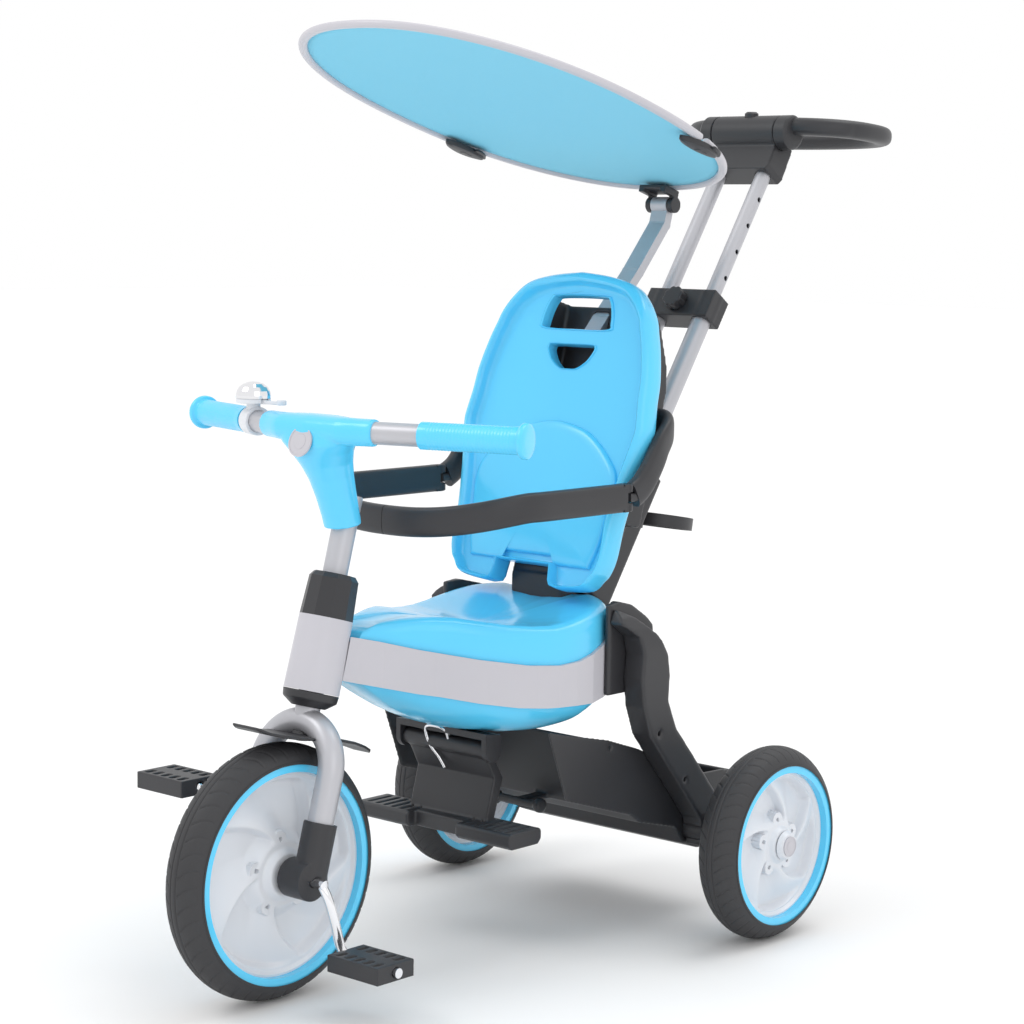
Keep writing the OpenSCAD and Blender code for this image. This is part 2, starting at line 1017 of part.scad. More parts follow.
module back_holes(y0, y1) {
  t0 = 260*back_kl;
  panel([[-45, t0], [45, t0], [48, t0 + 6], [45, t0 + 26], [39, t0 + 36], [-39, t0 + 36],
    [-45, t0 + 26], [-48, t0 + 6]], y0, y1);
  panel([[-14, t0 - 44], [14, t0 - 44], [26, t0 - 34], [33, t0 - 22], [32, t0 - 18], [-32, t0 - 18],
    [-33, t0 - 22], [-26, t0 - 34]], y0, y1);
}

module cushion_plan(y0, y1, grow) {
  g = grow;
  panel([[-86 - g, 2], [86 + g, 2], [94 + g, 55], [99 + g, 84], [95, 104 + g], [84, 116 + g],
    [68, 133 + g], [50, 146 + g], [26, 156 + g], [0, 160 + g], [-26, 156 + g], [-50, 146 + g],
    [-68, 133 + g], [-84, 116 + g], [-95, 104 + g], [-99 - g, 84], [-94 - g, 55]], y0, y1);
}

// blue front of the backrest: a shallow tray with a thick rounded rim
module backrest_shell() {
  color(sky)
    place()
      reclined()
        difference() {
          union() {
            panel(back_plan(3), -wing + 2, 12);
            panel(back_plan(0), -wing + 6, 9);
            panel(back_plan(7), -wing, 9);
          }
          panel(back_plan(14), -wing - 5, -1);
          panel(back_plan(11), -wing - 5, -6);
          panel(back_plan(6), 4, 20);
          back_holes(-30, 30);
          panel([[-36.5, -60], [36.5, -60], [36.5, -0.3], [30, 4], [-30, 4], [-36.5, -0.3]], -30, 30);
        }
}

// raised lower cushion of the backrest
module backrest_panel() {
  color(sky)
    place()
      reclined()
        difference() {
          union() {
            cushion_plan(-3.5, -1, 0);
            cushion_plan(-5.5, -3.4, -3);
          }
          panel([[-40, -60], [40, -60], [38, 10], [-38, 10]], -30, 30);
        }
}

// black box behind the backrest that holds it, the yoke and the canopy pole
module backrest_rear() {
  color(black)
    place()
      difference() {
        union() {
          reclined()
            intersection() {
              panel(back_plan(22), 4.1, 70);
              panel([[-84, 60], [84, 60], [84, 240], [70, 300], [-70, 300], [-84, 240]], 0, 80);
            }
          reclined()
            panel([[-50, 20], [50, 20], [60, 70], [-60, 70]], 4.1, 80);
        }
        side([[500, 380], [500, 655], [480, 690], [440, 760], [600, 760], [600, 380]], 300);
        reclined()
          panel([[-49, 254], [49, 254], [49, 300], [-49, 300]], 0, 36);
        reclined()
          panel([[-38, 210], [38, 210], [38, 248], [-38, 248]], 0, 30);
        column_room();
        side([[380, 330], [480, 330], [480, 398], [380, 398]], 74);
        pole_shape(air);
      }
}

// side arms of the guard rail that stay on the tricycle, behind the two hinges
module rail_yokes() {
  color(black)
    place()
      difference() {
        union() {
          intersection() {
            translate([0, 0, 400])
              linear_extrude(250)
                difference() {
                  yoke_plan(rail_w/2 + rail_t/2, 478, 46);
                  yoke_plan(rail_w/2 - rail_t/2, 478 - rail_t, 32);
                }
            side([[hinge_y, rail_z - rail_h/2], [382, rail_z - rail_h/2 + 2], [402, rail_z + 6],
              [430, rail_z + 34], [448, rail_z + 45], [480, rail_z + 50], [480, rail_z + 80],
              [440, rail_z + 76], [418, rail_z + 62], [392, rail_z + 36], [384, rail_z + 24],
              [hinge_y, rail_z + rail_h/2]], 400);
          }
          for (s = [-1, 1])
            translate([s*rail_w/2, hinge_y, rail_z - 5])
              cylinder(d = rail_t - 1, h = 10);
        }
        reclined()
          union() {
            panel([[-84.02, 0], [84.02, 0], [84.02, 300], [-84.02, 300]], -40, 120);
            panel(back_plan(-0.3), -40, 12.3);
          }
        hinge_gap();
      }
  color(black)
    place()
      rail_pins(4);
}

module yoke_plan(half, rear, round) {
  translate([-half, 300])
    square([2*half, rear - 300 - round]);
  translate([-half + round, 300])
    square([2*half - 2*round, rear - 300]);
  for (s = [-1, 1])
    translate([s*(half - round), rear - round])
      circle(r = round);
}

hinge_y = 374;

// room between the two leaves of each rail hinge: the fixed leaf is the middle one
module hinge_gap() {
  for (s = [-1, 1])
    translate([s*rail_w/2, hinge_y, 0])
      for (z = [rail_z - rail_h/2 - 1, rail_z + 5])
        translate([-14, -20, z])
          cube([28, 20 + 9, rail_h/2 - 4]);
}

module rail_pins(d) {
  for (s = [-1, 1])
    translate([s*rail_w/2, hinge_y, rail_z - rail_h/2 + 2])
      cylinder(d = d, h = rail_h - 4);
}

// one swinging half of the guard rail; side 1 is the child's left
module rail_half(s) {
  half = rail_w/2 + rail_t/2;
  difference() {
    union() {
      intersection() {
        translate([0, 0, 400])
          linear_extrude(150)
            difference() {
              rail_plan(half, 0);
              rail_plan(half - rail_t, rail_t);
            }
        side([[140, rail_z - rail_h/2 - 19], [160, rail_z - rail_h/2 - 17], [190, rail_z - rail_h/2 - 9],
          [220, rail_z - rail_h/2 - 3], [250, rail_z - rail_h/2], [hinge_y - 6, rail_z - rail_h/2],
          [hinge_y - 6, rail_z + rail_h/2], [250, rail_z + rail_h/2], [220, rail_z + rail_h/2 - 3],
          [190, rail_z + rail_h/2 - 9], [160, rail_z + rail_h/2 - 17],
          [140, rail_z + rail_h/2 - 19]], 400);
        translate([s > 0 ? 0.2 : -200.2, 0, 0])
          cube([200, 600, 600]);
      }
      for (z = [rail_z - rail_h/2, rail_z + 5 + air])
        translate([s*rail_w/2, hinge_y, z])
          difference() {
            union() {
              cylinder(d = rail_t - 1, h = rail_h/2 - 5 - air);
              translate([-rail_t/2 + 0.5, -9, 0])
                cube([rail_t - 1, 9, rail_h/2 - 5 - air]);
            }
            translate([0, 0, -1])
              cylinder(d = 4 + 2*run_fit, h = rail_h);
          }
    }
    translate([s*rail_w/2, hinge_y, rail_z - 5 - air])
      cylinder(d = rail_t + 8, h = 10 + 2*air);
  }
}

module rail_plan(half, cut) {
  p = oval(half, 252 - 148 - cut, 64, 2.4);
  polygon(concat([[-half, 400]], [for (i = [32:64]) [p[i%64][0], 252 + p[i%64][1]]], [[half, 400]]));
}

module guard_rail_left() {
  color(black)
    place()
      rail_half(1);
}

module guard_rail_right() {
  color(black)
    place()
      rail_half(-1);
}

// bottle ring on a short stem behind the column
module cup_ring() {
  color(black)
    place()
      difference() {
        union() {
          translate([0, 595, 425])
            rotate([-10, 0, 0])
              cylinder(d = 82, h = 14, center = true);
          translate([-9, 480, 420])
            cube([18, 80, 14]);
        }
        translate([0, 595, 425])
          rotate([-10, 0, 0])
            cylinder(d = 74, h = 40, center = true);
        pushed()
          translate([-60, -80, -400])
            cube([120, 104.02, 300]);
      }
}

pole_path = [[466, 629], [490, 654], [542, 707], [588, 760], [592, 774]];

// flat oval bar of the canopy pole
module pole_shape(grow) {
  intersection() {
    union() {
      for (i = [0:len(pole_path) - 2])
        translate([0, pole_path[i][0], pole_path[i][1]])
          rotate([-atan2(pole_path[i + 1][0] - pole_path[i][0], pole_path[i + 1][1] - pole_path[i][1]), 0, 0])
            translate([-15, -5.5 - grow/2, -grow])
              cube([30, 11 + grow, norm(pole_path[i + 1] - pole_path[i]) + 2*grow]);
      for (i = [1:len(pole_path) - 2])
        translate([-15, pole_path[i][0], pole_path[i][1]])
          across()
            cylinder(d = 11.8 + grow, h = 30);
    }
    translate([-11 - grow/2, 400, 500])
      cube([22 + grow, 300, 400]);
  }
}

// canopy pole with the hinge barrel at its top
module canopy_pole() {
  color(silver)
    place()
      difference() {
        union() {
          pole_shape(0);
          translate([-11, 593, 782])
            across()
              cylinder(d = 18, h = 22);
        }
        translate([-20, 593, 782])
          across()
            cylinder(d = 6 + 2*run_fit, h = 40);
      }
}

module push_tubes_lower() {
  color(silver)
    place()
      pushed()
        for (s = [-1, 1])
          translate([s*push_half, 0, -340])
            difference() {
              cylinder(d = push_d, h = 340 + 18);
              translate([0, 0, 2])
                cylinder(d = slide_d + 2*run_fit, h = 500);
            }
}

// clamp across the two tubes with the seat of its turning knob
module mid_clamp() {
  color(black)
    place()
      pushed()
        difference() {
          union() {
            translate([-push_half - 15, -15, -17.5])
              cube([2*push_half + 30, 30, 35]);
            for (s = [-1, 1])
              translate([s*push_half, 0, -17.5])
                cylinder(d = push_d + 9, h = 35);
          }
          for (s = [-1, 1])
            translate([s*push_half, 0, -40])
              cylinder(d = push_d + 2*push_fit, h = 80);
          translate([0, -20, 0])
            rotate([-90, 0, 0])
              cylinder(d = 8 + 2*run_fit, h = 14);
        }
}

// knob on the upper side of the clamp
module clamp_knob() {
  color(black)
    place()
      pushed()
        translate([0, -15 - air, 0])
          rotate([90, 0, 0])
            difference() {
              union() {
                translate([0, 0, -8])
                  cylinder(d = 8, h = 9);
                cylinder(d = 26, h = 12);
              }
              for (i = [0:7])
                rotate(i*45)
                  translate([15, 0, -1])
                    cylinder(d = 7, h = 14);
            }
}

module push_tubes_upper() {
  color(silver)
    place()
      pushed()
        for (s = [-1, 1])
          translate([s*push_half, 0, -150])
            difference() {
              cylinder(d = slide_d, h = 150 + top_len + 12);
              translate([0, 0, -1])
                cylinder(d = slide_d - 3, h = 600);
              for (i = [0:3])
                translate([0, 0, 150 + 42 + i*36])
                  rotate([0, s*90, 0])
                    cylinder(d = 6, h = 20);
            }
}

hub_y = 757;
hub_z = 868;
hub_half = 44;

// black head of the upper tubes with the barrel the loop handle tilts on
module handle_bracket() {
  color(black)
    place()
      difference() {
        union() {
          pushed()
            intersection() {
              translate([-47, -17, top_len])
                cube([94, 34, 48]);
              rotate([90, 0, 0])
                linear_extrude(80, center = true)
                  polygon([[-44, top_len], [44, top_len], [47, top_len + 6], [44, top_len + 48],
                    [-44, top_len + 48], [-47, top_len + 6]]);
            }
          translate([-hub_half, hub_y, hub_z])
            across()
              cylinder(r = 20, h = 2*hub_half);
        }
        for (s = [-1, 1])
          translate([s > 0 ? hub_half : -hub_half - 20, hub_y, hub_z])
            across()
              cylinder(r = 21, h = 20);
        pushed()
          for (s = [-1, 1])
            translate([s*push_half, 0, 0])
              cylinder(d = slide_d + 2*push_fit, h = top_len + 12);
        translate([-100, hub_y, hub_z])
          across()
            cylinder(d = 12 + 2*run_fit, h = 200);
        translate([0, hub_y, hub_z])
          cylinder(d = 16 + 2*run_fit, h = 40);
      }
}

// release button in the top of the barrel
module handle_button() {
  color(black)
    place()
      translate([0, hub_y, hub_z + 9.5])
        union() {
          cylinder(d = 16, h = 13);
          translate([0, 0, 13])
            cylinder(d1 = 16, d2 = 11, h = 2);
        }
}

// closed loop handle with a cheek and a pin at each end of the barrel
module handle_loop() {
  color(black)
    place()
      difference() {
        union() {
          translate([0, loop_y, hub_z])
            rotate([-4, 0, 0])
              translate([0, 0, -8])
                linear_extrude(22)
                  difference() {
                    polygon(oval(loop_w/2, loop_l/2, 72, 2.5));
                    polygon(oval(loop_w/2 - 24, loop_l/2 - 22, 72, 2.5));
                  }
          for (s = [-1, 1]) {
            translate([s*(hub_half + 9), hub_y, hub_z])
              across()
                cylinder(r = 20, h = 17.2, center = true);
            translate([s*(hub_half + 1), hub_y, hub_z])
              rotate([0, s*90, 0])
                translate([0, 0, -16])
                  cylinder(d = 12, h = 20);
          }
        }
        difference() {
          translate([-hub_half - air, hub_y - 40, hub_z - 40])
            cube([2*hub_half + 2*air, 66, 80]);
          translate([-hub_half - 4, hub_y, hub_z])
            across()
              cylinder(d = 12, h = 2*hub_half + 8);
        }
        translate([-hub_half + 14, hub_y - 8, hub_z - 8])
          cube([2*hub_half - 28, 16, 16]);
      }
}

split_x = canopy_w/2*pow(1 - pow(split_y/(canopy_l/2), 2.2), 1/2.2);

// the ring of the hoop on one side of the split; front = -1, rear = 1
module hoop_half(part) {
  gap = 3;
  difference() {
    translate([0, 0, -hoop_d/2])
      linear_extrude(hoop_d)
        difference() {
          polygon(oval(canopy_w/2, canopy_l/2, 96, 2.2));
          polygon(oval(canopy_w/2 - hoop_d - 2, canopy_l/2 - hoop_d - 2, 96, 2.2));
        }
    translate([-300, part < 0 ? split_y - gap : split_y + gap - 600, -50])
      cube([600, 600, 100]);
  }
}

module fabric_half(part) {
  gap = 2.5;
  difference() {
    translate([0, 0, -fabric_t/2])
      linear_extrude(fabric_t)
        polygon(oval(canopy_w/2 - hoop_d - 2.05, canopy_l/2 - hoop_d - 2.05, 96, 2.2));
    translate([-300, part < 0 ? split_y - gap : split_y + gap - 600, -50])
      cube([600, 600, 100]);
  }
}

module hoop_rear() {
  color(band_grey)
    place()
      canopied()
        hoop_half(1);
}

module fabric_rear() {
  color(sky)
    place()
      canopied()
        fabric_half(1);
}

// black fittings of the canopy: cheeks on the pole pin and the two side hinges
module canopy_fittings() {
  color(black)
    place()
      difference() {
        union() {
          translate([-17, 593, 782])
            across()
              cylinder(d = 6, h = 34);
          for (s = [-1, 1])
            translate([s*15, 593, 782])
              across()
                cylinder(d = 18, h = 7, center = true);
          for (s = [-1, 1])
            canopied()
              translate([s*15 - 3.5, 238, -12])
                cube([7, 26, 8]);
          canopied()
            translate([-18.5, 238, -8])
              cube([37, 26, 4 - push_fit]);
          canopied()
            for (s = [-1, 1]) {
              translate([s*(split_x - 9), split_y + 4, -hoop_d/2 - 3])
                linear_extrude(3 - push_fit)
                  intersection() {
                    translate([-26, 0])
                      circle(r = 42);
                    translate([26, 0])
                      circle(r = 42);
                    translate([-30, 3])
                      square([60, 50]);
                  }
              translate([s*(split_x - 9) - 3, split_y - 3, pin_z - 3])
                cube([6, 16, 4]);
              translate([s*(split_x - 9), split_y, pin_z])
                across()
                  cylinder(d = 6, h = 8, center = true);
              translate([s*(split_x - 9), split_y, pin_z])
                across()
                  cylinder(d = 3, h = 20, center = true);
            }
        }
        translate([-11.3, 593, 782])
          across()
            difference() {
              cylinder(d = 22, h = 22.6);
              cylinder(d = 6, h = 22.6);
            }
      }
}

// front half hoop with an eye on each side hinge
module hoop_front() {
  color(band_grey)
    place()
      canopied()
        difference() {
          union() {
            hoop_half(-1);
            for (s = [-1, 1])
              translate([s*(split_x - 9) - 8.6, split_y - 16, pin_z - 3])
                cube([17.2, 5, 6]);
            for (s = [-1, 1])
              for (x = [-6.6, 6.6])
                translate([s*(split_x - 9) + x, 0, 0]) {
                  translate([0, split_y, pin_z])
                    across()
                      cylinder(d = 6, h = 4, center = true);
                  translate([-2, split_y - 16, pin_z - 3])
                    cube([4, 16, 6]);
                  translate([-2, split_y - 16, pin_z])
                    cube([4, 11, -pin_z - hoop_d/2 + 1]);
                }
          }
          for (s = [-1, 1])
            translate([s*(split_x - 9), split_y, pin_z])
              across()
                cylinder(d = 3 + 2*run_fit, h = 60, center = true);
        }
}

module fabric_front() {
  color(sky)
    place()
      canopied()
        difference() {
          fabric_half(-1);
          for (s = [-1, 1])
            translate([s*(split_x - 9), split_y - 8, 0])
              cube([20, 20, 30], center = true);
        }
}

foot_y = 250;
foot_z = 218;

// ears under the belly that carry the footrest pin
module footrest_bracket() {
  color(black)
    place()
      difference() {
        union() {
          for (s = [-1, 1])
            translate([s*61 - 3, 0, 0]) {
              translate([0, foot_y - 12, foot_z])
                cube([6, 24, 24]);
              translate([0, foot_y, foot_z])
                across()
                  cylinder(d = 24, h = 6);
            }
          translate([-64, foot_y - 12, foot_z + 12.5])
            cube([128, 24, 12]);
          translate([-62, foot_y, foot_z])
            across()
              cylinder(d = 8, h = 124);
        }
        side([[200, 300], [200, 244], [205, 246], [232, 238], [268, 233], [305, 232], [340, 234],
          [340, 300]], 300);
      }
}

// folding footrest: stem plate, barrel and two ribbed pads
module footrest() {
  color(black)
    place()
      difference() {
        union() {
          translate([-57.5, foot_y, foot_z])
            across()
              cylinder(d = 18, h = 115);
          side([[244, 218], [256, 218], [276, 185], [262, 140], [250, 140], [262, 185]], 110);
          translate([0, foot_y, 134])
            intersection() {
              translate([-foot_w/2, -foot_l/2, -9])
                cube([foot_w, foot_l, 17]);
              side([[-26, -4], [-20, -9], [20, -9], [26, -2], [26, 4], [22, 8], [-22, 8],
                [-26, 4]], foot_w + 2);
            }
        }
        translate([-100, foot_y, foot_z])
          across()
            cylinder(d = 8 + 2*run_fit, h = 200);
        translate([-34, foot_y - foot_l/2 - 1, 120])
          cube([68, 14, 30]);
        for (s = [-1, 1])
          for (i = [0:5])
            translate([s*(foot_w/2 - 12 - i*12) - 2, foot_y - foot_l/2 + 6, 139.5])
              cube([4, foot_l - 12, 3]);
      }
}

front_tyre();
front_rim();
front_disc();
crank();
pedal_left();
pedal_right();
fork();
axle_housings();
fender();
lower_collar();
handlebar();
handlebar_cover();
grips();
bell_base();
bell_dome();
bell_lever();
head_tube();
upper_collar();
frame_band();
spine_tube();
belly_shell();
seat();
rear_bridge();
rear_legs();
rear_tub();
axle_beam();
rear_axle();
rear_column();
backrest_shell();
backrest_panel();
backrest_rear();
rail_yokes();
cup_ring();
canopy_pole();
push_tubes_lower();
mid_clamp();
footrest_bracket();
guard_rail_left();
guard_rail_right();
footrest();
clamp_knob();
push_tubes_upper();
handle_bracket();
handle_button();
handle_loop();
rear_tyre_left();
rear_rim_left();
rear_disc_left();
rear_cap_left();
rear_tyre_right();
rear_rim_right();
rear_disc_right();
rear_cap_right();
hoop_rear();
fabric_rear();
canopy_fittings();
hoop_front();
fabric_front();
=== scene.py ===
# %% [markdown]
# # Looks of a children's tricycle
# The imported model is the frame: every piece below is placed in its coordinates, in metres, and rides on one
# of its bodies. Moulded pieces get rounded skins, tyres get tread, and each material is a node graph.

# %% Load the frame
import json
import math
import bmesh
import bpy
import numpy as np
from mathutils import Matrix, Vector


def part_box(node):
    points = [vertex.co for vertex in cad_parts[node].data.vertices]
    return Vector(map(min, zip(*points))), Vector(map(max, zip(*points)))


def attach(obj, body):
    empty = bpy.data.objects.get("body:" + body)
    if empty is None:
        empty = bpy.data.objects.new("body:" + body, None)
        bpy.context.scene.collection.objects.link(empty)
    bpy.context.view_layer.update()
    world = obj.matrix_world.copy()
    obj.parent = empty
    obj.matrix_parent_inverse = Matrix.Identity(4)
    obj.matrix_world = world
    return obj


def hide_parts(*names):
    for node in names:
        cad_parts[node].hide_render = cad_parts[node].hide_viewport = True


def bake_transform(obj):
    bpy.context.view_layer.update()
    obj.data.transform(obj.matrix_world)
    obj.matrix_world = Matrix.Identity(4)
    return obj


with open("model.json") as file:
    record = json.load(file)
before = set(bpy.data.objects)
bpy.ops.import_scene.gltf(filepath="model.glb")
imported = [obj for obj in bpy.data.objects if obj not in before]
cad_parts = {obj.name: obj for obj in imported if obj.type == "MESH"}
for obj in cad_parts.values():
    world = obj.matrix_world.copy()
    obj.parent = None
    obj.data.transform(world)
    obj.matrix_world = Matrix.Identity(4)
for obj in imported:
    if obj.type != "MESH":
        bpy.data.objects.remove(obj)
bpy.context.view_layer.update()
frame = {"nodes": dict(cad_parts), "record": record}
NODES = frame["nodes"]
BODY = {n: b for b, ns in frame["record"]["behaviour"]["bodies"].items() for n in ns}
SLOT = {p["node"]: p["material_slot"] for p in frame["record"]["subparts"]}
lo0, hi0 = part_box("front_tyre")
AXLE = (lo0 + hi0) / 2
Y0 = AXLE.y
print("nodes", len(NODES), "front axle at", [round(v, 4) for v in AXLE])

# %% [markdown]
# ## Shader maths
# A small class wraps a node socket so that patterns read as formulas, such as `0.3 + 0.1 * noise`.

# %% Socket arithmetic
class Sock:
    """A shader value: the usual operators add Math nodes. a + b, a * b and a - b work with numbers too."""

    def __init__(self, tree, out):
        self.tree, self.out = tree, out

    def _op(self, kind, other):
        node = self.tree.nodes.new("ShaderNodeMath")
        node.operation = kind
        for i, v in enumerate((self, other)):
            if isinstance(v, Sock):
                self.tree.links.new(v.out, node.inputs[i])
            else:
                node.inputs[i].default_value = v
        return Sock(self.tree, node.outputs[0])

    def __add__(self, o):
        return self._op("ADD", o)

    def __mul__(self, o):
        return self._op("MULTIPLY", o)

    def __sub__(self, o):
        return self._op("SUBTRACT", o)

    __radd__, __rmul__ = __add__, __mul__


def set_to(tree, socket, value):
    """Links a Sock to a socket, or sets a plain number or colour on it."""
    if isinstance(value, Sock):
        tree.links.new(value.out, socket)
    else:
        socket.default_value = value


def noise(tree, scale, detail=3.0, rough=0.5):
    """Fractal noise from 0 to 1 in object space, with `scale` features per metre."""
    coord = tree.nodes.new("ShaderNodeTexCoord")
    n = tree.nodes.new("ShaderNodeTexNoise")
    tree.links.new(coord.outputs["Object"], n.inputs["Vector"])
    n.inputs["Scale"].default_value = scale
    n.inputs["Detail"].default_value = detail
    n.inputs["Roughness"].default_value = rough
    return Sock(tree, n.outputs["Fac"])


def mixed(tree, fac, a, b):
    """Colour a where fac is 0 and b where it is 1."""
    m = tree.nodes.new("ShaderNodeMix")
    m.data_type = "RGBA"
    set_to(tree, m.inputs[0], fac)
    m.inputs[6].default_value = (*a, 1)
    m.inputs[7].default_value = (*b, 1)
    return Sock(tree, m.outputs[2])


def bumped(tree, height, strength, distance):
    """A normal bent by a height pattern."""
    b = tree.nodes.new("ShaderNodeBump")
    b.inputs["Strength"].default_value = strength
    b.inputs["Distance"].default_value = distance
    set_to(tree, b.inputs["Height"], height)
    return Sock(tree, b.outputs["Normal"])


# %% [markdown]
# ## Materials
# One material per slot. Each varies slowly in colour and roughness and has a fine bump for its surface.

# %% Material builder
def material(name, low, high, rough, spread, grain, bump, metallic=0.0, coat=0.0):
    """Base colour runs from low to high with slow noise; roughness = rough + spread * fine noise."""
    m = bpy.data.materials.new(name)
    m.use_nodes = True
    t = m.node_tree
    p = t.nodes["Principled BSDF"]
    slow = noise(t, 9, 2)
    fine = noise(t, grain, 4.0, 0.6)
    set_to(t, p.inputs["Base Color"], mixed(t, slow, low, high))
    set_to(t, p.inputs["Roughness"], fine * spread + rough)
    p.inputs["Metallic"].default_value = metallic
    p.inputs["Coat Weight"].default_value = coat
    p.inputs["Coat Roughness"].default_value = 0.12
    set_to(t, p.inputs["Normal"], bumped(t, fine, bump, 0.0004))
    return m


MATS = {
    "blue_plastic": material("Blue plastic", (0.095, 0.60, 0.93), (0.105, 0.63, 0.96),
                             0.20, 0.08, 60, 0.03, coat=0.35),
    "black_plastic": material("Black plastic", (0.022, 0.022, 0.025), (0.030, 0.030, 0.034),
                              0.36, 0.14, 900, 0.22),
    "tyre": material("Tyre rubber", (0.026, 0.026, 0.029), (0.036, 0.036, 0.039), 0.52, 0.14, 700, 0.2),
    "white_plastic": material("White plastic", (0.68, 0.70, 0.74), (0.73, 0.75, 0.79),
                              0.30, 0.08, 80, 0.03, coat=0.15),
    "grey_plastic": material("Grey plastic", (0.50, 0.49, 0.53), (0.54, 0.53, 0.57),
                             0.32, 0.08, 120, 0.03, coat=0.1),
    "silver_tube": material("Silver paint", (0.47, 0.47, 0.50), (0.52, 0.52, 0.55),
                            0.33, 0.10, 1500, 0.05, metallic=0.45),
    "bright_steel": material("Bright steel", (0.78, 0.78, 0.80), (0.84, 0.84, 0.86),
                             0.08, 0.08, 300, 0.02, metallic=1.0),
}
print("materials", len(MATS))

# %% Canopy cloth material
def cloth(name, low, high):
    """Plain weave: height = 0.5 + 0.5 * sine of x * sine of y, with waves about 0.6 mm long."""
    m = bpy.data.materials.new(name)
    m.use_nodes = True
    t = m.node_tree
    p = t.nodes["Principled BSDF"]
    coord = t.nodes.new("ShaderNodeTexCoord")
    sep = t.nodes.new("ShaderNodeSeparateXYZ")
    t.links.new(coord.outputs["Object"], sep.inputs[0])
    x = Sock(t, sep.outputs["X"])
    y = Sock(t, sep.outputs["Y"])
    waves = []
    for axis in (x, y):
        s = axis * 10400.0
        n = t.nodes.new("ShaderNodeMath")
        n.operation = "SINE"
        t.links.new(s.out, n.inputs[0])
        waves.append(Sock(t, n.outputs[0]))
    weave = waves[0] * waves[1] * 0.5 + 0.5
    fine = noise(t, 260, 4)
    set_to(t, p.inputs["Base Color"], mixed(t, fine, low, high))
    set_to(t, p.inputs["Roughness"], fine * 0.12 + 0.68)
    p.inputs["Sheen Weight"].default_value = 0.2
    set_to(t, p.inputs["Normal"], bumped(t, weave, 0.25, 0.0003))
    return m


MATS["canopy_fabric"] = cloth("Canopy cloth", (0.13, 0.56, 0.76), (0.155, 0.60, 0.80))
for name, obj in NODES.items():
    obj.data.materials.clear()
    obj.data.materials.append(MATS[SLOT[name]])
print("slots given to", len(NODES), "nodes")

# %% [markdown]
# ## Geometry helpers
# Pieces are grids of points: rings of equal length, joined by quads, closed round or along as needed.

# %% Mesh helpers
EDGE_ANGLE = math.radians(38)
SIDES = (("left", 1), ("right", -1))


def solid(name, verts, faces):
    """A mesh with its twin points merged and its normals outward, as an object in the scene."""
    me = bpy.data.meshes.new(name)
    me.from_pydata([tuple(v) for v in verts], [], faces)
    bm = bmesh.new()
    bm.from_mesh(me)
    bmesh.ops.remove_doubles(bm, verts=bm.verts, dist=1e-6)
    bmesh.ops.recalc_face_normals(bm, faces=bm.faces)
    if bm.calc_volume(signed=True) < 0:
        bmesh.ops.reverse_faces(bm, faces=bm.faces)
    bm.to_mesh(me)
    bm.free()
    o = bpy.data.objects.new(name, me)
    bpy.context.scene.collection.objects.link(o)
    return o


def round_shade(me):
    """Smooth shading that keeps edges over EDGE_ANGLE sharp."""
    me.shade_smooth()
    me.set_sharp_from_angle(angle=EDGE_ANGLE)


def add_mesh(name, verts, faces, slot, body, hide=(), smooth=True):
    """Makes a mesh piece that rides on a body, and hides the CAD nodes that it stands for."""
    o = solid(name.replace(" ", "_"), verts, faces)
    if smooth:
        round_shade(o.data)
    o.data.materials.append(MATS[slot])
    if body:
        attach(o, body)
    if hide:
        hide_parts(*hide)
    return o


def grid_faces(rows, cols, wrap_rows=False, wrap_cols=True, base=0):
    """Quads between neighbouring rows and columns of a point grid."""
    out = []
    for i in range(rows if wrap_rows else rows - 1):
        for j in range(cols if wrap_cols else cols - 1):
            a, b = i, (i + 1) % rows
            c, d = j, (j + 1) % cols
            out.append((base + a * cols + c, base + a * cols + d, base + b * cols + d, base + b * cols + c))
    return out


def loft(rings, closed=False, caps=True):
    """Vertices and faces of a skin over equal rings, with flat end caps unless it closes on itself."""
    n, m = len(rings), len(rings[0])
    verts = [tuple(p) for r in rings for p in r]
    faces = grid_faces(n, m, wrap_rows=closed)
    if caps and not closed:
        faces += [tuple(range(m)), tuple((n - 1) * m + k for k in range(m))]
    return verts, faces


def joined(parts):
    """One mesh out of several (vertices, faces) pairs."""
    verts, faces = [], []
    for v, f in parts:
        faces += [tuple(i + len(verts) for i in q) for q in f]
        verts += [tuple(p) for p in v]
    return verts, faces


def cut_away(obj, cutters, solver):
    """Cuts each cutter out of obj, keeps the result as its mesh and deletes the cutters."""
    for c in cutters:
        b = obj.modifiers.new("cut", "BOOLEAN")
        b.operation = "DIFFERENCE"
        b.object = c
        b.solver = solver
    bpy.context.view_layer.update()
    dg = bpy.context.evaluated_depsgraph_get()
    obj.data = bpy.data.meshes.new_from_object(obj.evaluated_get(dg))
    obj.modifiers.clear()
    for c in cutters:
        bpy.data.objects.remove(c)


def smooth_path(points, n, closed=False):
    """Catmull-Rom curve through points, n samples a span."""
    p = np.array(points, float)
    k = len(p)
    out = []
    for i in range(k if closed else k - 1):
        g = [p[(i + j) % k] if closed else p[min(max(i + j, 0), k - 1)] for j in (-1, 0, 1, 2)]
        for t in np.arange(n) / n:
            out.append(0.5 * (2 * g[1] + (g[2] - g[0]) * t + (2 * g[0] - 5 * g[1] + 4 * g[2] - g[3]) * t * t
                              + (3 * g[1] - g[0] - 3 * g[2] + g[3]) * t ** 3))
    if not closed:
        out.append(p[-1])
    return np.array(out)


def super_ring(a, b, e, n=28):
    """Points of a superellipse: |x/a|^e + |y/b|^e = 1."""
    t = np.linspace(0, 2 * np.pi, n, endpoint=False)
    c, s = np.cos(t), np.sin(t)
    return np.c_[a * np.sign(c) * abs(c) ** (2 / e), b * np.sign(s) * abs(s) ** (2 / e)]


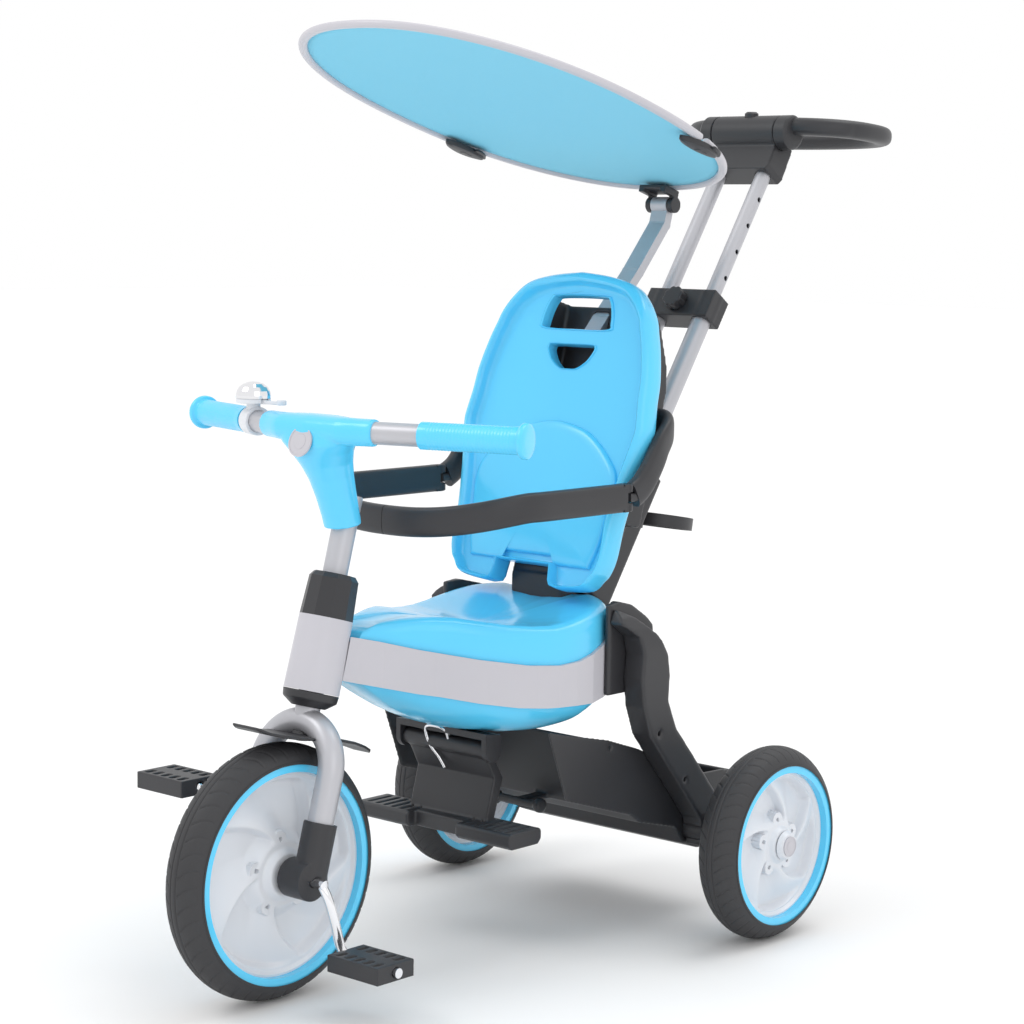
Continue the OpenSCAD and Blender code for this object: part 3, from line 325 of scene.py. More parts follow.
def sweep(path, section, up=(0, 0, 1), closed=False, rounded=0):
    """Skin of a section carried along a path. section is a ring of (side, up) points, or a list of them, one
    a station. With rounded, the ends shrink over that many extra stations like a dome."""
    p = np.array(path, float)
    t = np.gradient(p, axis=0) if not closed else (np.roll(p, -1, 0) - np.roll(p, 1, 0))
    t /= np.linalg.norm(t, axis=1)[:, None]
    side = np.cross(t, np.array(up, float))
    side /= np.linalg.norm(side, axis=1)[:, None]
    top = np.cross(side, t)
    secs = section if isinstance(section, list) else [section] * len(p)
    rings = [p[i] + secs[i][:, :1] * side[i] + secs[i][:, 1:] * top[i] for i in range(len(p))]
    if rounded and not closed:
        size = min(np.ptp(secs[0][:, 0]), np.ptp(secs[0][:, 1])) / 2
        for end, sign in ((0, -1), (-1, 1)):
            extra = []
            for k in range(1, rounded + 1):
                a = k / rounded * math.pi / 2
                q = secs[end] * max(math.cos(a), 0.02)
                c = p[end] + sign * t[end] * size * math.sin(a) * 0.6
                extra.append(c + q[:, :1] * side[end] + q[:, 1:] * top[end])
            rings = extra[::-1] + rings if end == 0 else rings + extra
    return loft(rings, closed)


def tricycle(x, y, z):
    """A point given in millimetres from the ground under the front axle, in the row frame in metres."""
    return np.array([x / 1000, y / 1000 + Y0, z / 1000])


def turned(origin, lean):
    """A function that places (x, y, z) mm points of a frame leaning back by `lean` degrees about X."""
    c, s = math.cos(math.radians(lean)), math.sin(math.radians(lean))
    o = np.array(origin, float)

    def put(q):
        q = np.atleast_2d(np.array(q, float))
        r = np.c_[q[:, 0], q[:, 1] * c + q[:, 2] * s, -q[:, 1] * s + q[:, 2] * c] + o
        r[:, 1] += Y0 * 1000
        return r / 1000
    return put


# %% Softened copies of moulded parts
def soften(node, voxel, passes):
    """A copy of a CAD node with rounded edges: voxel remesh, then smoothing. It replaces the node."""
    src = NODES[node]
    verts = [v.co[:] for v in src.data.vertices]
    faces = [tuple(p.vertices) for p in src.data.polygons]
    o = add_mesh(node + "_skin", verts, faces, SLOT[node], BODY[node], (node,), smooth=False)
    r = o.modifiers.new("round", "REMESH")
    r.mode = "VOXEL"
    r.voxel_size = voxel
    r.use_smooth_shade = True
    s = o.modifiers.new("soft", "SMOOTH")
    s.factor = 0.5
    s.iterations = passes


for node, voxel, passes in (("rear_legs", 0.0018, 5), ("rear_bridge", 0.0018, 6), ("rear_column", 0.0018, 5),
                            ("backrest_rear", 0.002, 5), ("rear_tub", 0.0019, 2), ("footrest", 0.0014, 3),
                            ("pedal_left", 0.0009, 2), ("pedal_right", 0.0009, 2), ("mid_clamp", 0.0012, 4),
                            ("handle_bracket", 0.0012, 4), ("axle_housings", 0.001, 3), ("fender", 0.001, 2),
                            ("clamp_knob", 0.0008, 3), ("canopy_fittings", 0.0008, 2),
                            ("lower_collar", 0.001, 2), ("bell_lever", 0.0006, 3), ("bell_base", 0.0006, 2)):
    soften(node, voxel, passes)
print("softened copies made")

# %% [markdown]
# ## Wheels
# Tyres are surfaces of revolution whose radius carries the tread; discs are height fields over a circle.

# %% Tyres with curved sipes
def wheel_frame(node):
    """Centre of a wheel node, its half width and its radius."""
    a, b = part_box(node)
    return (Vector(a) + Vector(b)) / 2, (b.x - a.x) / 2, (b.z - a.z) / 2


def tread(name, node, body):
    """radius = crown arc - groove depth. Grooves are curved stripes that repeat round the tyre: one lies
    where the fraction of (turn * 46 + bend) is near a half, and a thin ring runs on each side of the middle."""
    c, half, r = wheel_frame(node)
    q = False
    nu, nv = (240, 30) if q else (720, 54)
    crown = 2 * half * 0.52
    u = np.arange(nu) / nu
    v = np.linspace(-1, 1, nv)
    x = v * half
    flat = r - crown + np.sqrt(np.maximum(crown ** 2 - x ** 2, 0))
    U, V = np.meshgrid(u, v, indexing="ij")
    side = np.abs(V)
    sweepback = 0.34 * np.sin((side - 0.25) * 2.6)
    phase = (U * 46 + sweepback * 1.6 + 0.5 * (V > 0)) % 1
    groove = np.clip(1 - np.abs(phase - 0.5) / 0.085, 0, 1) * (side > 0.22) * (side < 0.86)
    ring = np.clip(1 - np.abs(side - 0.13) / 0.045, 0, 1)
    depth = 0.0011 * np.clip(groove + ring, 0, 1)
    R = flat[None, :] - depth
    ang = 2 * np.pi * U
    outer = np.stack([x[None, :] + 0 * U, R * np.cos(ang), R * np.sin(ang)], -1)
    inner_r = r - 0.0225
    lip = r - 0.0165
    prof = [(1, lip), (0.80, lip), (0.80, inner_r), (-0.80, inner_r), (-0.80, lip), (-1, lip)]
    extra = np.stack([np.stack([k * half + 0 * u, q * np.cos(2 * np.pi * u), q * np.sin(2 * np.pi * u)], -1)
                      for k, q in prof], 1)
    pts = np.concatenate([outer, extra], 1) + np.array(c)
    rows, cols = pts.shape[:2]
    return add_mesh(name, pts.reshape(-1, 3), grid_faces(rows, cols, True, True), "tyre", body, (node,))


tread("Front tyre tread", "front_tyre", "front_wheel")
tread("Left rear tyre tread", "rear_tyre_left", "rear_wheel_left")
tread("Right rear tyre tread", "rear_tyre_right", "rear_wheel_right")
print("tyres done")


# %% White discs with swept petals
def petals(name, node, body, hub_r, screws=5, spin=0.0, hub_x=0.022):
    """Height of each face: a dished web with five swept petal pockets, a smooth hub, screw bosses with a
    well in each, and a raised rim."""
    c, half, r = wheel_frame(node)
    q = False
    nr, nt = (30, 150) if q else (90, 400)
    rr = np.linspace(0.0001, 1, nr) ** 0.9
    th = np.arange(nt) / nt * 2 * np.pi
    R, T = np.meshgrid(rr, th, indexing="ij")
    swirl = T + 1.15 * (1 - R) ** 1.3 + spin
    k = (swirl * 5 / (2 * np.pi)) % 1
    wall = np.clip(np.minimum(k / 0.10, (1 - k) / 0.52), 0, 1)
    wall = wall * wall * (3 - 2 * wall)
    radial = np.clip((R - 0.30) / 0.16, 0, 1) * np.clip((0.93 - R) / 0.05, 0, 1)
    radial = radial * radial * (3 - 2 * radial)
    dish = 0.016 - 0.004 * np.clip((R - 0.25) / 0.6, 0, 1)
    height = dish - 0.0105 * wall * radial
    hub = np.clip((0.27 - R) / 0.07, 0, 1)
    height = height + (hub_x - 0.016) * hub * hub * (3 - 2 * hub)
    rim = np.clip((R - 0.955) / 0.02, 0, 1)
    height = height + 0.0035 * rim
    for i in range(screws):
        a = 2 * np.pi * (i + 0.3) / screws
        d = np.hypot(R * r * np.cos(T) - 0.345 * r * np.cos(a), R * r * np.sin(T) - 0.345 * r * np.sin(a))
        height = np.maximum(height, 0.0142 * (d < 0.0085))
        height = np.where(d < 0.0019, height - 0.006, height)
    verts, faces = [], []
    for side in (1, -1):
        base = len(verts)
        X = side * height
        Y = R * r * np.cos(T)
        Z = R * r * np.sin(T)
        pts = np.stack([X, Y, Z], -1) + np.array(c)
        verts += [tuple(p) for p in pts.reshape(-1, 3)]
        faces += grid_faces(nr, nt, False, True, base)
        verts.append(tuple(np.array(c) + [side * hub_x, 0, 0]))
        top = len(verts) - 1
        faces += [(top, base + (j + 1) % nt, base + j) for j in range(nt)]
    near_rim = (nr - 1) * nt
    far_rim = near_rim + nr * nt + 1
    for j in range(nt):
        k = (j + 1) % nt
        faces.append((near_rim + j, near_rim + k, far_rim + k, far_rim + j))
    return add_mesh(name, verts, faces, "white_plastic", body, (node,))


petals("Front disc petals", "front_disc", "front_wheel", 0.022)
petals("Left rear disc petals", "rear_disc_left", "rear_wheel_left", 0.02, spin=0.7)
petals("Right rear disc petals", "rear_disc_right", "rear_wheel_right", 0.02, spin=0.2)
print("discs done")

# %% [markdown]
# ## Guard rail, loop handle and hoops
# Closed and open tubes with rounded sections, carried along the same centre lines as the CAD solids.

# %% Guard rail halves and their yokes
RAIL_SECTION = super_ring(0.0072, 0.015, 3.2, 32)
BOX_FACES = ((0, 1, 3, 2), (4, 6, 7, 5), (0, 4, 5, 1), (2, 3, 7, 6), (0, 2, 6, 4), (1, 5, 7, 3))


def rail_line(sign, n=60):
    """Half of a superellipse of order 2.4 from the hinge forward to the middle, 18 mm lower at the front."""
    out = []
    for y in (368, 340, 310, 280):
        out.append((133 * sign, y, 478))
    for k in range(n + 1):
        t = k / n * math.pi / 2
        c, s = math.cos(t), math.sin(t)
        x = 133 * c ** (2 / 2.4) * sign
        y = 252 - 97 * s ** (2 / 2.4)
        z = 478 - 18 * max(0, (228 - y) / 73) ** 1.6
        if abs(x) > 0.6:
            out.append((x, y, z))
    out.append((0.3 * sign, 155, 460))
    return np.array([tricycle(*p) for p in out])


for side, sign in SIDES:
    line = rail_line(sign)
    v, f = sweep(line, RAIL_SECTION)
    add_mesh("Rail skin " + side, v, f, "black_plastic", "rail_" + side)
    parts = []
    for z0, z1 in ((463.5, 472.6), (483.4, 492.5)):
        rings = []
        for z, k in ((z0, 0.8), (z0 + 1, 1), (z1 - 1, 1), (z1, 0.8)):
            ring = super_ring(6.6 * k, 6.6 * k, 2, 24)
            rings.append([tricycle(133 * sign + q[0], 374 + q[1], z) for q in ring])
        box = [tricycle(133 * sign + sx * 6, y, z) for z in (z0, z1) for y in (364, 373) for sx in (-1, 1)]
        parts += [loft(rings), (box, BOX_FACES)]
    v, f = joined(parts)
    add_mesh("Rail knuckles " + side, v, f, "black_plastic", "rail_" + side, ("guard_rail_" + side,))

yoke = smooth_path([(133, 384, 480), (133, 398, 488), (133, 414, 505), (131, 432, 528), (124, 452, 543),
                    (108, 466, 549), (86, 471, 550)], 8)
for side, sign in SIDES:
    pts = [tricycle(p[0] * sign, p[1], p[2]) for p in yoke]
    v, f = sweep(pts, super_ring(0.0070, 0.0145, 3, 28))
    add_mesh("Yoke arm " + side, v, f, "black_plastic", "base")
    v, f = sweep([tricycle(133 * sign, y, 478) for y in (374, 378, 386)], super_ring(0.0062, 0.0048, 4, 20))
    add_mesh("Yoke leaf " + side, v, f, "black_plastic", "base", ("rail_yokes",) if sign > 0 else ())
print("rails done")

# %% Loop handle
def loop_line(n=120):
    """Superellipse of order 2.5, 250 by 180 mm over its outside, dropping slightly to the rear."""
    out = []
    for p in super_ring(112, 78, 2.5, n):
        y = p[1]
        out.append(tricycle(p[0], 836 + y, 870 - y * math.sin(math.radians(4))))
    return np.array(out)


line = loop_line()
secs = [super_ring(0.0115 + 0.002 * (p[1] < tricycle(0, 800, 0)[1]), 0.0105, 2.6, 24) for p in line]
v, f = sweep(line, secs, closed=True)
loop_skin = add_mesh("Loop handle skin", v, f, "black_plastic", "loop")
cut_box = bpy.data.meshes.new("hub gap")
bm = bmesh.new()
bmesh.ops.create_cube(bm, size=1)
bm.to_mesh(cut_box)
bm.free()
cutter = bpy.data.objects.new("hub gap", cut_box)
cutter.scale = (0.0888, 0.08, 0.08)
cutter.location = tricycle(0, 757, 868)
bpy.context.scene.collection.objects.link(cutter)
cut_away(loop_skin, [cutter], "EXACT")
parts = []
for sign in (1, -1):
    rings = []
    for x, k in ((44.4, 0.93), (45.4, 1), (59, 1), (61, 0.92), (61.6, 0.8)):
        rings.append([tricycle(sign * x, 757 + q[0], 868 + q[1]) for q in super_ring(20 * k, 20 * k, 2, 48)])
    parts.append(loft(rings))
v, f = joined(parts)
add_mesh("Loop cheeks", v, f, "black_plastic", "loop", ("handle_loop",))
print("loop done")

# %% Canopy hoops
CAN = turned((0, 346.6, 874.6), 16.2)
OVAL_ORDER = 2.2
SPLIT_Y = 100


def oval(a, b, t):
    """x and y of the canopy's superellipse: |x/a|^2.2 + |y/b|^2.2 = 1, at the angles t."""
    c, s = np.cos(t), np.sin(t)
    return a * np.sign(c) * abs(c) ** (2 / OVAL_ORDER), b * np.sign(s) * abs(s) ** (2 / OVAL_ORDER)


def canopy_edge(a, b, part, n=90, gap=2.5):
    """Edge points of the oval on one side of the split: part -1 is the front, 1 the rear."""
    pts = np.column_stack(oval(a, b, np.linspace(0, 2 * np.pi, n * 2, endpoint=False)))
    keep = pts[(pts[:, 1] - SPLIT_Y) * part > gap]
    return keep[np.argsort(np.arctan2(keep[:, 0] * part, (keep[:, 1] - (SPLIT_Y - 1)) * part))]


for part, node, body in ((-1, "hoop_front", "visor"), (1, "hoop_rear", "canopy")):
    edge = canopy_edge(179.5, 259.5, part)
    line = CAN(np.c_[edge, np.zeros(len(edge))])
    v, f = sweep(line, super_ring(0.0048, 0.0040, 2.4, 20))
    add_mesh(node + " tube", v, f, "grey_plastic", body, (node,))
print("hoops done")

# %% [markdown]
# ## Seat, belly and backrest
# Polar grids over the plan outline: the rim rolls over a quarter circle and the middle is dished.

# %% Body outline
OUTLINE = [[62, 16], [70, 20], [95, 26], [120, 33], [145, 44], [170, 56], [195, 70], [220, 84], [245, 96],
           [270, 106], [295, 113.5], [320, 117], [345, 117], [365, 114], [385, 107], [400, 97], [412, 83],
           [421, 65], [427, 42], [430, 15]]


def body_plan(inset, n=6, start=88):
    """Smooth closed outline of the body, inset all round, as (x, y) in mm."""
    half = smooth_path([(w - inset, y - inset * max(0, y - 350) / 80) for y, w in OUTLINE if y >= start], n)
    half = np.maximum(half, [0.5, 0])
    return np.concatenate([half, half[::-1] * [-1, 1]])


def table(rows, y):
    """Linear interpolation in a table of (key, value)."""
    return np.interp(y, [r[0] for r in rows], [r[1] for r in rows])


SEAT_TOP = [[88, 352], [95, 358], [105, 361], [125, 363], [160, 364], [185, 362.5], [215, 357], [245, 352],
            [275, 349], [300, 348], [325, 350], [350, 354], [375, 359], [400, 364], [415, 366], [424, 362],
            [430, 352]]
BAND_TOP = [[60, 357], [81, 352], [115, 344], [155, 333], [211, 320], [261, 311], [297, 308], [325, 310],
            [345, 315], [365, 322], [390, 329], [432, 334]]
BAND_LOW = [[60, 312], [115, 298], [155, 288], [175, 284], [212, 275], [250, 268], [282, 265], [344, 263],
            [370, 267], [400, 274], [432, 280]]
BELLY_LOW = [[84, 300], [100, 287], [120, 277], [154, 263], [180, 254], [205, 246], [232, 238], [268, 233],
             [305, 232], [340, 234], [362, 240], [385, 250], [400, 262], [412, 276]]

# %% Seat skin
edge = body_plan(4.4, start=90)
mid = np.array([0, 285])
rings = []
for z_drop, k in ((60, 1), (30, 1), (14, 0.998), (10, 0.992), (6.5, 0.98), (3.6, 0.96), (1.6, 0.935),
                  (0.4, 0.905), (0, 0.87), (0, 0.8), (0, 0.7), (0, 0.58), (0, 0.45), (0, 0.3), (0, 0.15),
                  (0, 0.02)):
    p = mid + (edge - mid) * k
    rim = table(SEAT_TOP, np.clip(edge[:, 1], 88, 430))
    here = table(SEAT_TOP, p[:, 1])
    base = rim * (k > 0.9) + (k <= 0.9) * (rim * k ** 2 + here * (1 - k ** 2))
    dish = 7 * max(0, 0.9 - k) * np.clip((p[:, 1] - 150) / 90, 0, 1)
    z = base - z_drop - dish
    if z_drop == 60:
        z = table(BAND_TOP, edge[:, 1]) - 3
    elif z_drop == 30:
        z = np.maximum(z, table(BAND_TOP, edge[:, 1]) - 2)
    rings.append([tricycle(a, b, c) for a, b, c in np.c_[p, z]])
v, f = loft(rings)
add_mesh("Saddle skin", v, f, "blue_plastic", "base", ("seat",))

# %% Belly skin
edge = body_plan(4.6, start=90)
rings = []
for k in np.r_[1, 1, 0.99, np.linspace(0.975, 0.05, 22)]:
    first = len(rings) == 0
    p = mid + (edge - mid) * k
    top = table(BAND_LOW, edge[:, 1]) + 6
    low = table(BELLY_LOW, p[:, 1])
    z = low + (top - low) * (1 - (1 - k ** 4.2) ** 0.55) if not first else top + 3
    z = np.minimum(z, top)
    rings.append([tricycle(a, b, c) for a, b, c in np.c_[p, z]])
v, f = loft(rings)
add_mesh("Belly skin", v, f, "blue_plastic", "base", ("belly_shell",))
print("seat and belly done")

# %% Backrest shell with its two openings
BACK = turned((0, 375.5, 395), 15.8)
BACK_SIDE = [(-24, 52), (-20, 86), (-8, 99), (0, 105), (18, 110), (55, 112), (99, 118), (128, 124),
             (150, 128), (164, 127), (185, 124), (210, 122), (241, 115), (262, 108), (278, 102), (296, 89),
             (311, 70), (319, 39), (323, 0.5)]


def back_outline(n=5):
    """Closed outline of the backrest with the neck notch, as (x, up) in its own frame."""
    right = smooth_path([(w, t) for t, w in BACK_SIDE], n)
    foot = [(37.5, 0), (38.5, -16), (42, -22)]
    half = np.concatenate([np.array(foot), right])
    return np.concatenate([half, half[::-1] * [-1, 1]])


def back_ring(out, k, depth):
    """Outline shrunk along its own normal, at a depth behind the front plane: by k mm at the top, and less
    round the foot and the neck notch, where there is no room for it."""
    nxt, prv = np.roll(out, -1, 0), np.roll(out, 1, 0)
    t = nxt - prv
    t /= np.linalg.norm(t, axis=1)[:, None]
    nrm = np.c_[-t[:, 1], t[:, 0]]
    foot = np.clip((out[:, 1] + 24) / 75, 0, 1)
    share = 0.3 + 0.7 * np.where(np.abs(out[:, 0]) < 46, np.where(out[:, 1] < 60, 0, 1), foot)
    p = out + nrm * k * share[:, None]
    return BACK(np.c_[p[:, 0], np.full(len(p), depth), p[:, 1]])


out = back_outline()
profile = ((6, 12), (2, 11), (0.4, 8), (0, 3), (0, -3), (0.6, -8), (2.2, -11.5), (5, -14), (8, -14.6),
           (10.5, -13.2), (12, -10), (13, -6), (14.5, -3), (17, -1.4), (20, -1))
rings = [back_ring(out, k, d) for k, d in profile]
v, f = loft(rings, caps=False)
m = len(out)
f.append(tuple(range(m)))
f.append(tuple((len(profile) - 1) * m + i for i in range(m)))
shell = add_mesh("Backrest skin", v, f, "blue_plastic", None)


def prism(points, y0, y1):
    """A prism through the backrest over a smooth outline, for cutting an opening."""
    p = smooth_path(points, 6, closed=True)
    rings = [BACK(np.c_[p[:, 0], np.full(len(p), y), p[:, 1]]) for y in (y0, y1)]
    v, f = loft(rings)
    return solid("cut", v, f)


GRIP = [(-44, 261), (0, 260), (44, 261), (48, 268), (45, 284), (40, 294), (34, 297), (0, 298),
        (-34, 297), (-40, 294), (-45, 284), (-48, 268)]
SLOT_HOLE = [(-12, 217), (0, 216), (12, 217), (24, 225), (31.5, 236), (32, 241), (28, 243), (0, 243),
             (-28, 243), (-32, 241), (-31.5, 236), (-24, 225)]


cut_away(shell, [prism(GRIP, -30, 40), prism(SLOT_HOLE, -30, 40)], "MANIFOLD")
shell.data.materials.clear()
shell.data.materials.append(MATS["blue_plastic"])
round_shade(shell.data)
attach(shell, "base")
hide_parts("backrest_shell")

# %% Lips of the openings and the raised cushion
for name, pts in (("Grip lip", GRIP), ("Slot lip", SLOT_HOLE)):
    p = smooth_path(pts, 6, closed=True)
    c = p.mean(0)
    rings = []
    for k, d in ((1.07, -0.5), (1.06, -2.2), (1.03, -3.0), (0.995, -2.2), (0.98, 1), (0.975, 5)):
        q = c + (p - c) * k
        rings.append(BACK(np.c_[q[:, 0], np.full(len(q), d), q[:, 1]]))
    v, f = loft(rings, caps=False)
    add_mesh(name, v, f, "blue_plastic", "base")
CUSHION_SIDE = [(84, 2), (92, 30), (96, 62), (99, 84), (96, 104), (84, 120), (64, 138), (40, 151)]
cushion = CUSHION_SIDE + [(0, 158)] + [(-x, z) for x, z in CUSHION_SIDE[::-1]]
pts = np.concatenate([np.array([(-37, 2), (-36, 11), (36, 11), (37, 2)]), smooth_path(cushion, 6)])
c = np.array([0, 75])
rings = []
for k, d in ((1.0, -0.9), (1.0, -2.6), (0.992, -4.2), (0.975, -5.4), (0.94, -6.2), (0.85, -6.8), (0.6, -7.4),
             (0.3, -7.8), (0.02, -8)):
    q = c + (pts - c) * k
    rings.append(BACK(np.c_[q[:, 0], np.full(len(q), d), q[:, 1]]))
v, f = loft(rings)
add_mesh("Cushion skin", v, f, "blue_plastic", "base", ("backrest_panel",))
print("backrest done")

# %% [markdown]
# ## Handlebar cover, grips and small parts

# %% Handlebar cover by voxel union
def bar_point(x):
    """Middle line of the handlebar: straight to 40 mm, then swept back 17 degrees."""
    return np.array([x, 54 + max(abs(x) - 40, 0) * math.tan(math.radians(17)), 557.0])


COVER_RINGS = ((459, 93.5, 17.8, 18.2, 2.2), (470, 90.5, 18.2, 18.4, 2.2), (490, 84, 19, 20, 2.2),
               (508, 77.5, 21, 22, 2.2), (522, 71.5, 25, 24.5, 2.2), (534, 65.5, 33, 26, 2.2),
               (545, 61, 44, 25.5, 2.3), (556, 58.5, 52, 21, 2.4), (565, 58.5, 50, 15.5, 2.4),
               (570, 59.5, 42, 8, 2.4))
slope = 0.14
rings = []
for z, yc, hx, hy, e in COVER_RINGS:
    rings.append([tricycle(q[0], yc + q[1], z + slope * q[1]) for q in super_ring(hx, hy, e, 40)])
arm = [bar_point(x) for x in np.linspace(-73.5, 73.5, 31)]
swell = [max(0, 1 - abs(p[0]) / 60) for p in arm]
secs = [super_ring(0.0135 + 0.004 * w, 0.0134 + 0.0015 * w, 2.2, 32) for w in swell]
v, f = joined([loft(rings), sweep([tricycle(*p) for p in arm], secs)])
cover = add_mesh("Handlebar cover skin", v, f, "blue_plastic", "steering", ("handlebar_cover",),
                 smooth=False)
mod = cover.modifiers.new("union", "REMESH")
mod.mode = "VOXEL"
mod.voxel_size = 0.001
mod.use_smooth_shade = True
mod = cover.modifiers.new("blend", "SMOOTH")
mod.factor = 0.5
mod.iterations = 24

# %% Plain round caps
def emblem(name, centre, axis, r, body):
    """A plain grey cap in three steps: a raised edge, a lower ring inside it and a low dome."""
    n = Vector(axis).normalized()
    u = n.orthogonal().normalized()
    w = n.cross(u)
    c = Vector(centre)
    foot, tip = -0.0008, 1e-4
    steps = ((r * 0.9, r, 0.0012), (r * 0.5, r * 0.9, 0.0008), (0.0, r * 0.5, 0.0011))
    for k, (r0, r1, h) in enumerate(steps):
        edge_ring = ((r0, foot), (r0, h), (r1, h), (r1, foot))
        dome = ((r1, foot), (r1, h), (r1 * 0.6, h * 1.25), (tip, h * 1.35))
        rings = []
        for rr, hh in edge_ring if r0 else dome:
            rings.append([c + n * hh + (u * math.cos(a) + w * math.sin(a)) * max(rr, tip)
                          for a in np.linspace(0, 2 * np.pi, 48, endpoint=False)])
        v, f = loft(rings, closed=bool(r0), caps=not r0)
        add_mesh(f"{name} {k}", v, f, "grey_plastic", body)


emblem("Cover emblem", tricycle(0, 35.2, 545.5), (0, -0.96, 0.28), 0.0152, "steering")
for side, sign in SIDES:
    a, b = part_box("rear_cap_" + side)
    outer_x = (b.x if sign > 0 else a.x) + 0.0002 * sign
    emblem("Cap emblem " + side, (outer_x, (a.y + b.y) / 2, (a.z + b.z) / 2), (sign, 0, 0), 0.0108,
           "rear_wheel_" + side)

# %% Grips with rounded ends and fine ribs
for side, sign in SIDES:
    xs, rs = [], []
    for x in np.linspace(121, 219, 160):
        rib = 0.35 * (1 + math.cos((x - 121) * 2 * math.pi / 3.2)) * (128 < x < 214)
        xs.append(x)
        rs.append(13.4 - rib * 0.5)
    for x, r in ((220, 13.8), (221.2, 16.4), (222.5, 17.3), (225, 17.4), (226.6, 16.6), (227.8, 14),
                 (228.2, 10)):
        xs.append(x)
        rs.append(r)
    line = [tricycle(*bar_point(x * sign)) for x in xs]
    v, f = sweep(line, [super_ring(r / 1000, r / 1000, 2, 40) for r in rs])
    add_mesh("Grip skin " + side, v, f, "blue_plastic", "steering", ("grips",) if sign > 0 else ())

# %% Bent crank arms
pts = [(-157, -17.5, 199.9), (-96, -17.5, 199.9), (-86, -17, 197), (-81, -14.5, 188), (-79, -9, 165),
       (-76, -3.5, 143), (-70, -0.4, 130), (-62, 0, 127), (62, 0, 127), (70, 0.4, 124), (76, 3.5, 111),
       (79, 9, 89), (81, 14.5, 66), (86, 17, 57), (96, 17.5, 54.1), (157, 17.5, 54.1)]
line = [tricycle(*p) for p in smooth_path(pts, 8)]
v, f = sweep(line, super_ring(0.0049, 0.0049, 2, 24), up=(0, 1, 0.24))
add_mesh("Crank rod", v, f, "bright_steel", "front_wheel", ("crank",))

# %% Wire latch of the footrest
wire = smooth_path([(6, 244, 224), (6, 240, 232), (0, 237, 236), (-14, 236, 236), (-22, 239, 230),
                    (-20, 244, 214), (-12, 250, 200), (-6, 252, 190)], 8)
v, f = sweep([tricycle(*p) for p in wire], super_ring(0.0018, 0.0018, 2, 14))
add_mesh("Latch wire", v, f, "bright_steel", "footrest")
print("small parts done")

# %% [markdown]
# ## Canopy cloth
# One stretched sheet between the two hoops.

# %% Fabric over the hoops
def cloth_sheet(a, b, n=72):
    """Polar grid over the oval of order 2.2, crowned 6 mm in the middle: z = 6 (1 - r^2)."""
    rad = np.r_[0.0001, np.linspace(0.05, 1, 22)]
    t = np.arange(n) / n * 2 * np.pi
    ex, ey = oval(a, b, t)
    top = [CAN(np.c_[ex * r, ey * r, np.full(n, 0.5 + 6 * (1 - r * r))]) for r in rad]
    low = [CAN(np.c_[ex * r, ey * r, np.full(n, -0.5 + 6 * (1 - r * r))]) for r in rad[::-1]]
    return loft(top + low)


v, f = cloth_sheet(178, 258)
fabric = add_mesh("Canopy cloth", v, f, "canopy_fabric", None)
fabric.data.set_sharp_from_angle(angle=math.pi)
tuple(CAN((0, 88, 0))[0])
tuple(CAN((0, 112, 0))[0])
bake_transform(fabric)
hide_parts("fabric_front", "fabric_rear")
ox, oy = oval(0.178, 0.258, np.linspace(0, 2 * np.pi, 2000))
oval_area = float(abs(np.sum(ox[:-1] * oy[1:] - ox[1:] * oy[:-1])) / 2)
print("cloth area", round(oval_area, 4))

# %% Canopy side clips seen from below
for side, sign in SIDES:
    rings = []
    for k, z in ((0.86, -3.2), (1, -4.2), (1, -7.6), (0.93, -9.4), (0.7, -10.4)):
        pts = []
        for q in super_ring(11 * k, 32 * k, 1.7, 36):
            pts.append((sign * 166 + q[0] - sign * 0.0025 * q[1] ** 2, 101 + q[1], z))
        rings.append(CAN(pts))
    v, f = loft(rings)
    add_mesh("Side clip " + side, v, f, "black_plastic", "canopy")
print("canopy done")

# %% [markdown]
# ## Floor, light and camera

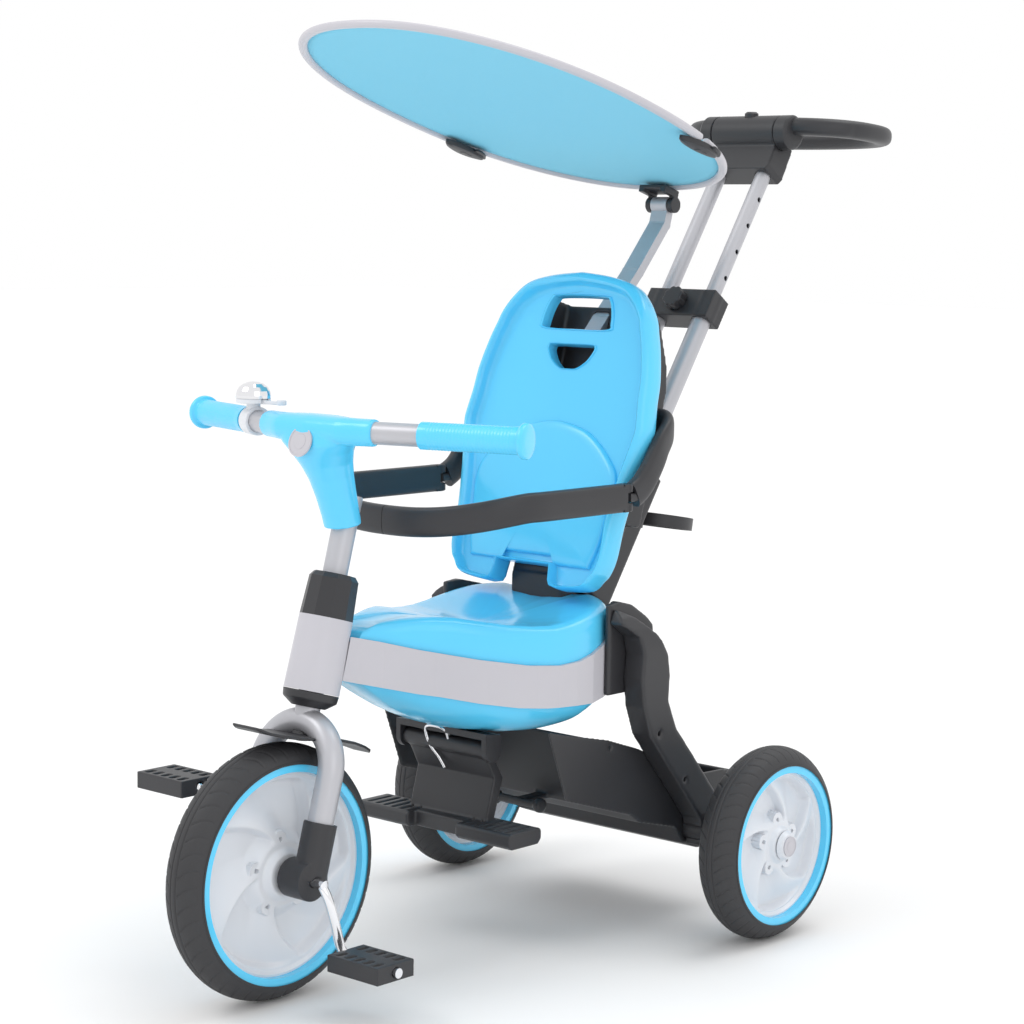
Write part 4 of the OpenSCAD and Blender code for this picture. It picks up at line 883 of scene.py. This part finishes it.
# %% Stage
bpy.ops.mesh.primitive_plane_add(size=40, location=(0, 0, -0.0004))
floor = bpy.context.object
floor.name = "Floor"
m = bpy.data.materials.new("Studio floor")
m.use_nodes = True
t = m.node_tree
p = t.nodes["Principled BSDF"]
set_to(t, p.inputs["Base Color"], mixed(t, noise(t, 3, 2), (0.86, 0.86, 0.86), (0.88, 0.88, 0.88)))
set_to(t, p.inputs["Roughness"], noise(t, 30, 2) * 0.05 + 0.7)
floor.data.materials.append(m)


def area_light(name, place, aim, size, power):
    """A square soft box that looks at a point."""
    data = bpy.data.lights.new(name, "AREA")
    data.size = size
    data.energy = power
    o = bpy.data.objects.new(name, data)
    bpy.context.scene.collection.objects.link(o)
    o.location = place
    o.rotation_euler = (Vector(aim) - Vector(place)).to_track_quat("-Z", "Y").to_euler()
    return o


area_light("Key", (-1.2, -1.9, 2.8), (0, 0, 0.4), 1.3, 18)
area_light("Fill", (2.6, -1.2, 1.6), (0, 0, 0.45), 1.8, 7)
sun = bpy.data.lights.new("Sky panel", "SUN")
sun.energy = 0.75
sun.angle = math.radians(40)
high = bpy.data.objects.new("Sky panel", sun)
bpy.context.scene.collection.objects.link(high)
high.rotation_euler = (math.radians(-22), math.radians(8), 0)
bpy.context.scene.view_settings.view_transform = "Standard"
world = bpy.data.worlds.new("Studio")
bpy.context.scene.world = world
world.use_nodes = True
world.node_tree.nodes["Background"].inputs[0].default_value = (1, 1, 1, 1)
world.node_tree.nodes["Background"].inputs[1].default_value = 1.0

# %% Camera
cam_data = bpy.data.cameras.new("Camera")
cam_data.sensor_width = 36
cam_data.lens = 86.9
camera = bpy.data.objects.new("Camera", cam_data)
bpy.context.scene.collection.objects.link(camera)
bpy.context.scene.camera = camera
az, el, roll = math.radians(41.52), math.radians(6.56), math.radians(0.88)
camera.location = tricycle(1733, -1612, 754)
forward = Vector((-math.sin(az) * math.cos(el), math.cos(az) * math.cos(el), -math.sin(el)))
right = Vector((math.cos(az), math.sin(az), 0))
upv = right.cross(forward)
r2 = right * math.cos(roll) + upv * math.sin(roll)
u2 = upv * math.cos(roll) - right * math.sin(roll)
rot = [[r2[i], u2[i], -forward[i]] for i in range(3)]
camera.rotation_mode = "QUATERNION"
camera.rotation_quaternion = Matrix(rot).to_quaternion()
bpy.context.view_layer.update()
